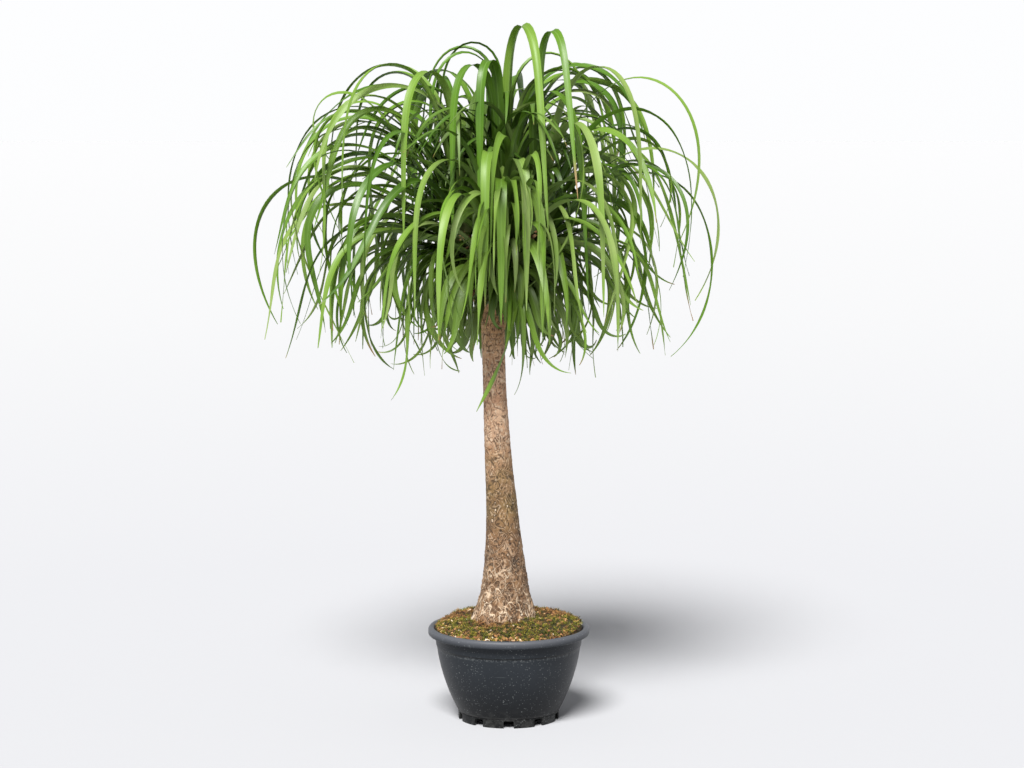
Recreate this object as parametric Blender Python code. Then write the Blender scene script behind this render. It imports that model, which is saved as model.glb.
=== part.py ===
"""Potted ponytail palm: a swollen stem with five short heads of strap leaves, in a bowl of moss-topped soil.

Metres, +Z up. The origin is the middle of the pot's flat bottom, and -Y is the plant's front.
"""

import math
import random
from itertools import product
from typing import NamedTuple

import bmesh
import bpy
import numpy as np
from mathutils import Vector
from mathutils.bvhtree import BVHTree

# ---- driving dimensions ----
POT_HEIGHT = 0.202
RIM_RADIUS = 0.175          # outside of the rolled rim
RIM_INNER_RADIUS = 0.161
RIM_DEPTH = 0.017           # height of the rolled rim
BAND_DEPTH = 0.024          # plain band between the rim and the step in the wall
STEP = 0.0013               # how far the band stands out over the wall below it
WALL = 0.0032
WALL_FOOT_RADIUS = 0.111    # outside of the wall just above the foot
WALL_SPREAD = 0.0455        # by how much it widens up to the step
WALL_BELLY = 0.62           # how much it bulges over a straight taper, 0 for none
FOOT_HEIGHT = 0.0195
FOOT_RADIUS = 0.1098
FOOT_WALL = 0.005
PAD_RADIUS = 0.074          # flat middle of the bottom
FLOOR = 0.004
CHANNEL_HEIGHT = 0.0182     # height of the drain channel's roof over the ground
SLOT_COUNT = 10
SLOT_WIDTH = 0.022
SLOT_HEIGHT = 0.0162
DRAIN_HOLE_RADIUS = 0.005
POT_SIDES = 64
WALL_STEPS = 5
GAP = 0.0003                # between pieces that touch

SOIL_TOP = 0.172
MOSS_EDGE = 0.1975          # moss height at the pot's wall, at the front
MOSS_BACK_RISE = 0.011      # by how much the moss's edge lies higher at the back
MOSS_TILT = 0.005           # by how much the moss rises towards the back right corner
MOSS_TILT_TO = 0.7          # that corner's angle from +X, in radians
MOSS_MIDDLE = 0.224         # moss height at the stem
MOSS_UNDULATION = 0.0022
MOSS_RADIUS = 0.1598        # of the moss where it fills the rim
MOSS_GAP = 0.0012           # between the loose moss and the stem's bark
MOSS_SIDES = 56
MOSS_RINGS = 6

TRUNK_SIDES = 24
# Stem stations from the buried root crown up: height, middle X, radius
STEM = (
    (0.104, -0.012, 0.0340),
    (0.130, -0.013, 0.0620),
    (0.160, -0.0135, 0.0775),
    (0.190, -0.0135, 0.0795),
    (0.212, -0.0130, 0.0740),
    (0.245, -0.0100, 0.0618),
    (0.280, -0.0080, 0.0525),
    (0.350, -0.0093, 0.0430),
    (0.450, -0.014, 0.0345),
    (0.580, -0.023, 0.0288),
    (0.720, -0.030, 0.0250),
    (0.850, -0.034, 0.0252),
    (0.935, -0.036, 0.0270),
)
STEM_RING_SPACING = 0.030
BUTTRESS = 0.055            # share of the radius by which the stem's foot swells into lobes
BUTTRESS_TOP = 0.34

HEAD_RADIUS = 0.017
HEAD_SIDES = 12
FORK_HEIGHT = 0.885         # where the heads leave the stem's axis
HEAD_UPRIGHT_FROM = 0.985   # above this a head stands upright
# Growing heads: name, X, Y and height of the tip
HEADS = {
    "centre": (-0.010, 0.020, 1.114),
    "left": (-0.095, 0.005, 1.094),
    "front": (-0.015, -0.080, 1.034),
    "right": (0.056, -0.010, 1.079),
    "back": (-0.030, 0.080, 1.089),
}

LEAF_STEPS = 20             # segments along a leaf
LEAF_THICKNESS = 0.0016     # at the base, over the midrib
LEAF_CHANNEL = 0.12         # how far the margins rise over the midrib, as a share of the width
LEAF_TIP_WIDTH = 0.0012
BASE_SPREAD = 0.09          # height on a head between its upright leaves and its level ones
# The crown's outline: an egg about its middle, which the leaves are cut to
CROWN_MIDDLE = (-0.045, 0.010, 1.100)
CROWN_RADIUS = 0.495
CROWN_RISE = 0.362          # of the crown's top over its middle
CROWN_DROP = 0.345          # of the crown's fringe under its middle
DOME_SQUARENESS = 2.0       # 2 draws an ellipse, more a squarer outline
FRINGE_SQUARENESS = 3.2
GOLDEN_TURN = (math.sqrt(5) - 1) / 2


class Leaf(NamedTuple):
    """One strap leaf: angles in degrees, lengths in metres, crest and softness in shares of the length."""
    head: str
    azimuth: float          # heading at the base, anticlockwise from +X seen from above
    launch: float           # angle above the horizon at the base
    length: float
    width: float
    crest: float = 0.42     # where the leaf turns over
    softness: float = 0.16  # how gradually it turns over
    hang: float = -90.0     # angle at the tip
    curl: float = 0.0       # further bend of the last third
    drift: float = 0.0      # change of heading from base to tip
    twist: float = 0.0      # roll about its own length from base to tip
    wave: float = 0.0       # unevenness of the curve
    phase: float = 0.0


# The leaves that draw the crown's outline and its front
KEY_LEAVES = (
    Leaf("centre", 290, 88, 0.91, 0.019, crest=0.455, softness=0.10, hang=-80, twist=40),
    Leaf("right", 290, 88, 0.83, 0.018, crest=0.52, softness=0.09, hang=-76, twist=40),
    Leaf("centre", 238, 85, 0.78, 0.020, crest=0.44, softness=0.11, twist=10),
    Leaf("centre", 262, 87, 0.80, 0.020, crest=0.44, softness=0.07, curl=-10, drift=-40, twist=-10),
    Leaf("left", 238, 84, 0.76, 0.019, crest=0.47, softness=0.13, twist=-10),
    Leaf("left", 218, 80, 0.80, 0.016, crest=0.50, softness=0.16, twist=10),
    Leaf("right", 314, 80, 0.82, 0.018, crest=0.50, softness=0.16),
    Leaf("right", 335, 76, 0.84, 0.010, crest=0.52, softness=0.22, hang=-98, curl=-20, twist=50),
    Leaf("right", 326, 72, 0.78, 0.014, crest=0.50, softness=0.22, hang=-94, curl=-10, twist=-40),
    Leaf("right", 355, 56, 0.72, 0.012, crest=0.50, softness=0.24, hang=-98, curl=-25, twist=60),
    Leaf("right", 346, 50, 0.76, 0.013, crest=0.42, softness=0.22, hang=-96, curl=-45, twist=-60),
    Leaf("left", 180, 33, 0.73, 0.014, crest=0.56, softness=0.20, hang=-100, curl=-20, twist=65),
    Leaf("left", 184, 26, 0.63, 0.014, crest=0.54, softness=0.20, hang=-92, curl=15, twist=-70),
    Leaf("left", 198, 22, 0.56, 0.015, crest=0.48, softness=0.22, hang=-84, curl=15, twist=60),
    Leaf("left", 232, 5, 0.42, 0.015, crest=0.30, softness=0.18, curl=45, drift=-20),
    Leaf("front", 290, -6, 0.34, 0.013, crest=0.24, softness=0.18, hang=-62, drift=-130, twist=30),
    Leaf("front", 232, 74, 0.62, 0.020, crest=0.42, softness=0.16),
    Leaf("front", 246, 48, 0.62, 0.019, crest=0.50, softness=0.20),
    Leaf("front", 256, 78, 0.60, 0.021, crest=0.42, softness=0.12, drift=20, twist=10),
    Leaf("front", 270, 70, 0.53, 0.022, crest=0.40, softness=0.12, twist=-10),
    Leaf("front", 282, 76, 0.57, 0.022, crest=0.42, softness=0.12),
    Leaf("front", 294, 66, 0.53, 0.020, crest=0.38, softness=0.14),
    Leaf("front", 308, 44, 0.64, 0.019, crest=0.50, softness=0.20),
    Leaf("front", 328, 64, 0.60, 0.019, crest=0.42, softness=0.18, hang=-88),
    Leaf("centre", 318, 84, 0.80, 0.020, crest=0.38, softness=0.12, hang=-86, drift=10),
    Leaf("right", 298, 76, 0.76, 0.019, crest=0.42, softness=0.18, hang=-88),
)
# Tiers of the leaves on the sides and the back: launch, length, crest, width
TIERS = (
    (82, 0.80, 0.52, 0.018),
    (66, 0.82, 0.48, 0.016),
    (46, 0.78, 0.47, 0.014),
    (20, 0.66, 0.44, 0.016),
)
TIER_LEAVES = 24
TIER_FROM, TIER_SWEEP = -32, 244        # azimuths that the tiers fill, from the right round the back
SKIRT_LEAVES = 6                        # short old leaves all round, that hang close to the stem
# Degrees by which a leaf may be turned and tipped to be clear of its neighbours
TURNS = [side * turn for turn in range(0, 61, 4) for side in (1, -1)][1:]
TIPS = (0, -4, -8, -12, -16, -20)
SEED = 11


# ---- scene helpers ----
def clear_scene():
    for item in list(bpy.data.objects):
        bpy.data.objects.remove(item, do_unlink=True)


def material(name, colour, roughness):
    made = bpy.data.materials.new(name)
    made.use_nodes = True
    shader = made.node_tree.nodes["Principled BSDF"]
    shader.inputs["Base Color"].default_value = (*colour, 1.0)
    shader.inputs["Roughness"].default_value = roughness
    shader.inputs["Metallic"].default_value = 0.0
    made.diffuse_color = (*colour, 1.0)
    return made


def add_object(name, points, faces, finish=None):
    mesh = bpy.data.meshes.new(name)
    mesh.from_pydata([tuple(point) for point in points], [], faces)
    mesh.shade_smooth()
    mesh.set_sharp_from_angle(angle=math.radians(35))
    if finish:
        mesh.materials.append(finish)
    made = bpy.data.objects.new(name, mesh)
    bpy.context.collection.objects.link(made)
    return made


def hide_cutter(cutter):
    cutter.hide_render = True
    cutter.display_type = "WIRE"


def boolean(target, other, operation):
    hide_cutter(other)
    modifier = target.modifiers.new(other.name, "BOOLEAN")
    modifier.operation = operation
    modifier.object = other
    modifier.solver = "EXACT"


def loft(rings):
    """Points and faces of a closed body through rings of equal size.

    Each ring is anticlockwise seen from its far side.
    """
    count = len(rings[0])
    points = [point for ring in rings for point in ring]
    faces = []
    for level in range(len(rings) - 1):
        low, high = level * count, (level + 1) * count
        for i in range(count):
            j = (i + 1) % count
            faces.append((low + i, low + j, high + j, high + i))
    faces.append(tuple(reversed(range(count))))
    faces.append(tuple(range(len(points) - count, len(points))))
    return points, faces


def turned(name, outline, sides, finish=None):
    """A body turned about Z from an outline of (radius, height).

    The outline runs up the outside from the bottom, then back down inside.
    """
    points, faces, rows = [], [], []
    for radius, height in outline:
        if radius == 0:
            rows.append([len(points)])
            points.append((0.0, 0.0, height))
            continue
        rows.append(list(range(len(points), len(points) + sides)))
        for i in range(sides):
            angle = math.tau * i / sides
            points.append((radius * math.cos(angle), radius * math.sin(angle), height))
    for low, high in zip(rows, rows[1:]):
        for i in range(sides):
            j = (i + 1) % sides
            if len(low) == 1:
                faces.append((low[0], high[j], high[i]))
            elif len(high) == 1:
                faces.append((low[i], low[j], high[0]))
            else:
                faces.append((low[i], low[j], high[j], high[i]))
    return add_object(name, points, faces, finish)


def smooth_curve(stations, at):
    """Catmull-Rom reading of rows of numbers whose first column rises, at a value of that column."""
    rows = np.array(stations)
    i = int(np.clip(np.searchsorted(rows[:, 0], at) - 1, 0, len(rows) - 2))
    before, start, end, after = (rows[min(max(k, 0), len(rows) - 1)] for k in (i - 1, i, i + 1, i + 2))
    span = end[0] - start[0]
    share = (at - start[0]) / span
    slope_in = (end - before) / max(end[0] - before[0], 1e-9) * span
    slope_out = (after - start) / max(after[0] - start[0], 1e-9) * span
    square, cube = share ** 2, share ** 3
    return (
        (2 * cube - 3 * square + 1) * start + (cube - 2 * square + share) * slope_in
        + (3 * square - 2 * cube) * end + (cube - square) * slope_out
    )


# ---- pot, soil and moss ----
def arc(centre, radius, start, end, steps):
    """Points of an arc of (radius, height) from one angle in degrees to another."""
    made = []
    for i in range(steps + 1):
        angle = math.radians(start + (end - start) * i / steps)
        made.append((centre[0] + radius * math.cos(angle), centre[1] + radius * math.sin(angle)))
    return made


def wall_radius(height):
    """Outside of the pot's wall below the step: a shallow convex bowl."""
    rise = (height - FOOT_HEIGHT) / (POT_HEIGHT - RIM_DEPTH - BAND_DEPTH - FOOT_HEIGHT)
    return WALL_FOOT_RADIUS + WALL_SPREAD * ((1 + WALL_BELLY) * rise - WALL_BELLY * rise ** 2)


def inner_wall(clearance=0.0):
    """Inside of the pot's wall, from the raised floor up to the rim's foot."""
    low, high = FOOT_HEIGHT + WALL, POT_HEIGHT - RIM_DEPTH
    heights = [low + (high - low) * i / WALL_STEPS for i in range(WALL_STEPS + 1)]
    return [(wall_radius(height) - WALL - clearance, height) for height in heights]


def inner_radius(height, clearance=0.0):
    """Inside of the pot at a height, along the straight facets between the wall's rings."""
    radii, heights = zip(*inner_wall(clearance))
    return float(np.interp(height, heights, radii))


def pot_outline():
    rim_middle = (RIM_RADIUS + RIM_INNER_RADIUS) / 2
    roll = (RIM_RADIUS - RIM_INNER_RADIUS) / 2
    band_top = POT_HEIGHT - RIM_DEPTH
    band_foot = band_top - BAND_DEPTH
    outline = [
        (0.0, 0.0), (PAD_RADIUS, 0.0), (PAD_RADIUS + 0.003, CHANNEL_HEIGHT),
        (FOOT_RADIUS - FOOT_WALL, CHANNEL_HEIGHT), (FOOT_RADIUS - FOOT_WALL, 0.0),
        (FOOT_RADIUS - 0.001, 0.0), (FOOT_RADIUS, 0.001), (FOOT_RADIUS, FOOT_HEIGHT - 0.0015),
    ]
    for i in range(WALL_STEPS + 1):
        height = FOOT_HEIGHT + (band_foot - FOOT_HEIGHT) * i / WALL_STEPS
        outline.append((wall_radius(height), height))
    outline += [
        (wall_radius(band_foot) + STEP, band_foot + 0.0008),
        (wall_radius(band_top) + STEP, band_top + 0.004),
        (RIM_RADIUS - 0.003, band_top),
        (RIM_RADIUS, band_top + 0.003),
    ]
    outline += arc((rim_middle, POT_HEIGHT - roll), roll, 0, 180, 6)
    outline += [(RIM_INNER_RADIUS, band_top + 0.002)]
    outline += list(reversed(inner_wall()))
    outline += [(PAD_RADIUS - 0.001, FOOT_HEIGHT + WALL), (PAD_RADIUS - 0.005, FLOOR), (0.0, FLOOR)]
    return outline


def box_points(centre, along, across, half_length, half_width, low, high):
    corners = []
    for height in (low, high):
        for length, width in ((-1, -1), (1, -1), (1, 1), (-1, 1)):
            place = centre + along * (length * half_length) + across * (width * half_width)
            corners.append((place.x, place.y, height))
    faces = [(3, 2, 1, 0), (4, 5, 6, 7), (0, 1, 5, 4), (1, 2, 6, 5), (2, 3, 7, 6), (3, 0, 4, 7)]
    return corners, faces


def make_pot(finish):
    pot = turned("pot", pot_outline(), POT_SIDES, finish)
    slots, slot_faces, holes, hole_faces = [], [], [], []
    channel_middle = (PAD_RADIUS + 0.003 + FOOT_RADIUS - FOOT_WALL) / 2
    for i in range(SLOT_COUNT):
        angle = math.radians(-90 + 360 / SLOT_COUNT * i)
        along = Vector((math.cos(angle), math.sin(angle), 0))
        across = Vector((-math.sin(angle), math.cos(angle), 0))
        middle = along * (FOOT_RADIUS - FOOT_WALL / 2)
        corners, faces = box_points(middle, along, across, FOOT_WALL, SLOT_WIDTH / 2, -0.002, SLOT_HEIGHT)
        slot_faces += [tuple(k + len(slots) for k in face) for face in faces]
        slots += corners
        place = along * channel_middle
        rings = []
        for height in (CHANNEL_HEIGHT - 0.002, FOOT_HEIGHT + WALL + 0.002):
            turn = [math.tau * k / 12 for k in range(12)]
            rings.append([
                (place.x + DRAIN_HOLE_RADIUS * math.cos(t), place.y + DRAIN_HOLE_RADIUS * math.sin(t), height)
                for t in turn
            ])
        points, faces = loft(rings)
        hole_faces += [tuple(k + len(holes) for k in face) for face in faces]
        holes += points
    boolean(pot, add_object("slot_cutter", slots, slot_faces), "DIFFERENCE")
    boolean(pot, add_object("drain_hole_cutter", holes, hole_faces), "DIFFERENCE")
    return pot


def stem_point(height, angle, clearance=0.0):
    """A point of the stem's surface, with the lobes of its foot, at an angle about its own middle line."""
    _, middle, radius = smooth_curve(STEM, height)
    swell = BUTTRESS * np.clip((BUTTRESS_TOP - height) / 0.12, 0, 1) * np.clip((height - 0.12) / 0.06, 0, 1)
    lobes = 1 + swell * (0.6 * math.cos(3 * angle + 0.6) + 0.4 * math.cos(5 * angle + 2.0))
    reach = radius * lobes + clearance
    return Vector((middle + reach * math.cos(angle), reach * math.sin(angle), height))


def stem_ring(height, sides, clearance=0.0):
    return [stem_point(height, math.tau * i / sides, clearance) for i in range(sides)]


def stem_heights():
    """Heights of the stem's rings, closer together over its lobed foot."""
    heights = [STEM[0][0]]
    while heights[-1] < STEM[-1][0]:
        step = STEM_RING_SPACING * (0.5 if heights[-1] < BUTTRESS_TOP - 0.03 else 1)
        heights.append(min(heights[-1] + step, STEM[-1][0]))
    return heights


def stem_hole(name):
    """A cutter of the buried stem's own shape, with the gap around and below it."""
    heights = [height for height in stem_heights() if height < SOIL_TOP + 0.02]
    rings = [stem_ring(height, TRUNK_SIDES, GAP) for height in heights]
    lowest = [point - Vector((0, 0, GAP)) for point in rings[0]]
    return add_object(name, *loft([lowest, *rings[1:]]))


def make_soil(finish):
    inner = [(radius, height) for radius, height in inner_wall(GAP) if height < SOIL_TOP]
    raised_floor = FOOT_HEIGHT + WALL + GAP
    outline = [(0.0, FLOOR + GAP), (PAD_RADIUS - 0.0055, FLOOR + GAP), (PAD_RADIUS - 0.0015, raised_floor)]
    outline += [(inner[0][0] - 0.001, raised_floor)] + inner[1:]
    outline += [(inner_radius(SOIL_TOP, GAP), SOIL_TOP), (0.0, SOIL_TOP)]
    soil = turned("potting_soil", outline, POT_SIDES, finish)
    boolean(soil, stem_hole("root_crown_cutter"), "DIFFERENCE")
    return soil


def moss_height(share, angle):
    """Top of the moss, from 0 at the stem to 1 at the pot's wall."""
    edge = MOSS_EDGE + MOSS_BACK_RISE * (1 + math.sin(angle)) / 2
    mound = MOSS_MIDDLE + (edge - MOSS_MIDDLE) * share ** 1.6
    mound += MOSS_TILT * math.cos(angle - MOSS_TILT_TO) * (1 - 0.5 * share)
    bumps = math.sin(3 * angle + 1) + math.sin(5 * angle + 9 * share) + math.sin(8 * angle - 7 * share + 2)
    return mound + MOSS_UNDULATION * bumps / 2


def make_moss(finish):
    """A ring of moss and litter between the stem and the pot's wall, on the soil."""
    base = SOIL_TOP + GAP
    band_top = POT_HEIGHT - RIM_DEPTH
    # Radius and height of the moss's side, up the wall and out into the rim
    side = [
        (inner_radius(SOIL_TOP, 2 * GAP), base), (inner_radius(band_top, 2 * GAP), band_top + 0.001),
        (MOSS_RADIUS, band_top + 0.005),
    ]
    rings = []

    def ring(place_of):
        rings.append([place_of(math.tau * i / MOSS_SIDES) for i in range(MOSS_SIDES)])

    def edge(angle, radius, height):
        return Vector((radius * math.cos(angle), radius * math.sin(angle), height))

    def top(angle, share):
        start = stem_point(moss_height(0, angle), angle, MOSS_GAP)
        place = start.lerp(edge(angle, MOSS_RADIUS, 0), share)
        return Vector((place.x, place.y, moss_height(share, angle)))

    ring(lambda angle: stem_point(base, angle, MOSS_GAP))
    for radius, height in side:
        ring(lambda angle, radius=radius, height=height: edge(angle, radius, height))
    for step in range(MOSS_RINGS, -1, -1):
        ring(lambda angle, share=step / MOSS_RINGS: top(angle, share))
    ring(lambda angle: stem_point(MOSS_EDGE, angle, MOSS_GAP))
    points = [point for around in rings for point in around]
    faces = []
    for level in range(len(rings)):
        low, high = level * MOSS_SIDES, (level + 1) % len(rings) * MOSS_SIDES
        for i in range(MOSS_SIDES):
            j = (i + 1) % MOSS_SIDES
            faces.append((low + i, low + j, high + j, high + i))
    return add_object("moss_top", points, faces, finish)


# ---- trunk ----
def head_path(tip):
    """Middle line of a head: out from the stem's top, then upright to its tip."""
    fork = Vector((smooth_curve(STEM, FORK_HEIGHT)[1], 0, FORK_HEIGHT))
    elbow = Vector((tip[0], tip[1], HEAD_UPRIGHT_FROM))
    shoulder = fork.lerp(elbow, 0.62) + Vector((0, 0, -0.008))
    return [fork, fork.lerp(shoulder, 0.5), shoulder, elbow, Vector(tip)]


def make_head(name, tip):
    path = head_path(tip)
    rings = []

    def ring(place, radius):
        turns = [math.tau * k / HEAD_SIDES for k in range(HEAD_SIDES)]
        spokes = [Vector((math.cos(t), math.sin(t), 0)) for t in turns]
        rings.append([place + radius * spoke for spoke in spokes])

    for i, place in enumerate(path):
        ring(place, HEAD_RADIUS + 0.0015 * max(0, len(path) - 2 - i))
    for lift, share in ((0.006, 0.80), (0.010, 0.45)):
        ring(path[-1] + Vector((0, 0, lift)), HEAD_RADIUS * share)
    points, faces = loft(rings)
    return add_object(f"head_{name}", points, faces)


def make_trunk(finish):
    points, faces = loft([stem_ring(height, TRUNK_SIDES) for height in stem_heights()])
    trunk = add_object("trunk", points, faces, finish)
    for name, tip in HEADS.items():
        boolean(trunk, make_head(name, tip), "UNION")
    return trunk


# ---- leaves ----
def direction(pitch, heading):
    return np.stack([np.cos(pitch) * np.cos(heading), np.cos(pitch) * np.sin(heading), np.sin(pitch)], -1)


def leaf_base(leaf):
    """Where a leaf leaves its head: upright leaves at the tip, level and hanging ones lower down."""
    tip = np.array(HEADS[leaf.head])
    lift = math.radians(leaf.launch)
    reach = HEAD_RADIUS + GAP + LEAF_THICKNESS / 2 * abs(math.sin(lift))
    out = direction(0.0, math.radians(leaf.azimuth))
    return tip + reach * out - np.array((0, 0, BASE_SPREAD * (1 - leaf.launch / 90)))


def leaf_frames(leaf, steps):
    """Middle line of a leaf, with the direction across it and the one out of its upper face at each point."""
    middle = (np.arange(steps) + 0.5) / steps
    start = np.tanh(leaf.crest / leaf.softness)
    end = np.tanh((1 - leaf.crest) / leaf.softness)
    fall = (np.tanh((middle - leaf.crest) / leaf.softness) + start) / (end + start)
    curl = leaf.curl * np.clip((middle - 0.65) / 0.35, 0, 1) ** 1.6
    sway = leaf.wave * np.sin(7 * middle + leaf.phase)
    swing = 1.5 * leaf.wave * np.sin(5 * middle + 2 * leaf.phase)
    pitch = np.radians(leaf.launch + (leaf.hang - leaf.launch) * fall + curl + sway)
    heading = np.radians(leaf.azimuth + leaf.drift * middle ** 1.5 + swing)
    base = leaf_base(leaf)
    line = np.vstack([base, base + np.cumsum(direction(pitch, heading), 0) * leaf.length / steps])
    pitch = np.concatenate([pitch[:1], (pitch[1:] + pitch[:-1]) / 2, pitch[-1:]])
    heading = np.concatenate([heading[:1], (heading[1:] + heading[:-1]) / 2, heading[-1:]])
    level = np.stack([-np.sin(heading), np.cos(heading), np.zeros(steps + 1)], -1)
    upper = np.cross(direction(pitch, heading), level)
    share = np.arange(steps + 1) / steps
    roll = np.radians(leaf.twist * share ** 1.4)[:, None]
    across = level * np.cos(roll) + upper * np.sin(roll)
    upper = upper * np.cos(roll) - level * np.sin(roll)
    return line, across, upper, share


def leaf_width(leaf, share):
    """Narrow at the clasping base, broadest over the first half, drawn out to a thread at the tip."""
    base = 0.42 + 0.58 * np.clip(share / 0.14, 0, 1)
    return leaf.width * base * np.clip(1 - share ** 2.3, 0, 1) ** 0.9 + LEAF_TIP_WIDTH


def leaf_body(leaf, swell=0.0):
    """Points and faces of a leaf: a shallow V in section, thickest over its midrib."""
    line, across, upper, share = leaf_frames(leaf, LEAF_STEPS)
    width = leaf_width(leaf, share)[:, None] + swell
    depth = width * LEAF_CHANNEL * (1 - 0.6 * share[:, None])
    thick = LEAF_THICKNESS * (1 - 0.6 * share[:, None]) + swell
    right = line + across * width / 2 + upper * depth
    ridge = line + upper * thick / 2
    left = line - across * width / 2 + upper * depth
    keel = line - upper * thick / 2
    return loft([list(corners) for corners in zip(right, ridge, left, keel)])


def crown_share(leaf):
    """How far a leaf reaches from the crown's middle, as a share of the way to the crown's outline."""
    x, y, z = (leaf_frames(leaf, LEAF_STEPS)[0] - np.array(CROWN_MIDDLE)).T
    above = z > 0
    out = np.hypot(x, y) / CROWN_RADIUS
    height = np.abs(z) / np.where(above, CROWN_RISE, CROWN_DROP)
    power = np.where(above, DOME_SQUARENESS, FRINGE_SQUARENESS)
    return float(((out ** power + height ** power) ** (1 / power)).max())


def cut_to_crown(leaf):
    """The leaf, shortened until it stays within the crown's outline."""
    while crown_share(leaf) > 1:
        leaf = leaf._replace(length=leaf.length * 0.97)
    return leaf


def tier_leaves(rng):
    """Leaves on the sides and the back, each from the head that faces its way."""
    leaves = []
    for i in range(TIER_LEAVES):
        launch, length, crest, width = TIERS[i % len(TIERS)]
        azimuth = TIER_FROM + TIER_SWEEP * ((i + 0.5) * GOLDEN_TURN % 1)
        head = "right" if azimuth < 40 else "back" if azimuth < 145 else "left"
        if launch > 80 and i % 8 == 0:
            head = "centre"
        leaves.append(cut_to_crown(Leaf(
            head, azimuth, launch + rng.uniform(-5, 5), length * rng.uniform(0.94, 1.04), width, crest,
            rng.uniform(0.14, 0.24), rng.uniform(-98, -80), rng.uniform(-35, 30), rng.uniform(-15, 15),
            rng.uniform(-30, 30), rng.uniform(0, 3), rng.uniform(0, math.tau),
        )))
    return leaves


def skirt_leaves(rng):
    """Short old leaves all round, that hang close to the stem."""
    leaves = []
    for i in range(SKIRT_LEAVES):
        azimuth = 360 / SKIRT_LEAVES * (i + 0.75)
        head = ("right", "back", "left", "left", "front", "right")[i]
        leaves.append(Leaf(
            head, azimuth, rng.uniform(-12, 2), rng.uniform(0.27, 0.34), 0.013, 0.30,
            rng.uniform(0.16, 0.22), -92.0, rng.uniform(-40, 30), rng.uniform(-30, 30), rng.uniform(-40, 40),
        ))
    return leaves


def make_leaves(trunk, finish):
    """Grow the leaves one by one, turning each a little about its head until it is clear of all before it."""
    stem_tree = BVHTree.FromObject(trunk, bpy.context.evaluated_depsgraph_get())
    grown = []
    numbers = dict.fromkeys(HEADS, 0)
    rng = random.Random(SEED)
    for leaf in (*KEY_LEAVES, *tier_leaves(rng), *skirt_leaves(rng)):
        for turn, tip in sorted(product(TURNS, TIPS), key=lambda change: abs(change[0]) + 2 * abs(change[1])):
            trial = leaf._replace(azimuth=leaf.azimuth + turn, launch=leaf.launch + tip)
            swollen = BVHTree.FromPolygons(*leaf_body(trial, 2 * GAP))
            plain = BVHTree.FromPolygons(*leaf_body(trial))
            if not plain.overlap(stem_tree) and not any(swollen.overlap(other) for other in grown):
                break
        else:
            raise ValueError(f"no room for a leaf on the {leaf.head} head at {leaf.azimuth:.0f} degrees")
        grown.append(swollen)
        numbers[leaf.head] += 1
        add_object(f"leaf_{leaf.head}_{numbers[leaf.head]:02d}", *leaf_body(trial), finish)


def main():
    clear_scene()
    make_pot(material("pot plastic", (0.040, 0.046, 0.054), 0.55))
    make_soil(material("potting soil", (0.030, 0.020, 0.013), 0.95))
    make_moss(material("moss", (0.140, 0.150, 0.030), 0.95))
    trunk = make_trunk(material("bark", (0.330, 0.220, 0.140), 0.85))
    make_leaves(trunk, material("leaf", (0.110, 0.230, 0.045), 0.45))


main()
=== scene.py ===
"""Looks of the potted ponytail palm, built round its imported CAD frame.

Metres, +Z up. The origin is the middle of the pot's flat bottom, and -Y is the plant's front.
Every leaf of the frame is grown again by its own rule, finer, and the crown is filled in between.
"""

import math
import random
from functools import partialmethod
from itertools import product
from typing import NamedTuple

import bpy
import numpy as np
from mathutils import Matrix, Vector, noise

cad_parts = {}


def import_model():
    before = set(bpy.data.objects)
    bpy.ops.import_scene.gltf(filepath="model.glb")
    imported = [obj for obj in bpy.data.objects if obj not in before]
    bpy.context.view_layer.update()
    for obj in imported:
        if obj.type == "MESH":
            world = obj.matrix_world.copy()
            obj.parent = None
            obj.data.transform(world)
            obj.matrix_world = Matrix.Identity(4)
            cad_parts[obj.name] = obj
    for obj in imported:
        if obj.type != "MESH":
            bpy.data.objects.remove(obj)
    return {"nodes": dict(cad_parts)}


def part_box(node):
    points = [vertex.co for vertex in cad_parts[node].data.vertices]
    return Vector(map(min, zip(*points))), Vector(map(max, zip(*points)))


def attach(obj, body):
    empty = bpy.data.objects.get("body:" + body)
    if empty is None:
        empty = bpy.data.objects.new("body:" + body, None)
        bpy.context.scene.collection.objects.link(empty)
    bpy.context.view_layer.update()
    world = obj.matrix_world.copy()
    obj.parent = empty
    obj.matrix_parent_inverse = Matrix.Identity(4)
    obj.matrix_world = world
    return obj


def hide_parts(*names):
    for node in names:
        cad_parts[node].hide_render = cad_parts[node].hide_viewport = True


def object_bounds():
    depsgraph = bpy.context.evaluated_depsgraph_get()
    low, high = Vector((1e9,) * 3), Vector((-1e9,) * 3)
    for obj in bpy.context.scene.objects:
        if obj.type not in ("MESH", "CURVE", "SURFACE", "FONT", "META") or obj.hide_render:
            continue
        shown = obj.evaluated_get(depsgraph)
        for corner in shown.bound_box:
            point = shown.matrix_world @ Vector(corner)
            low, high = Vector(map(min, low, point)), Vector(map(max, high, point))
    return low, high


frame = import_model()
CAD_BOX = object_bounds()
BOX_LOW, BOX_HIGH = (np.array(corner) for corner in CAD_BOX)

SEED = 11
GAP = 0.0003                    # between neighbours

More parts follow.
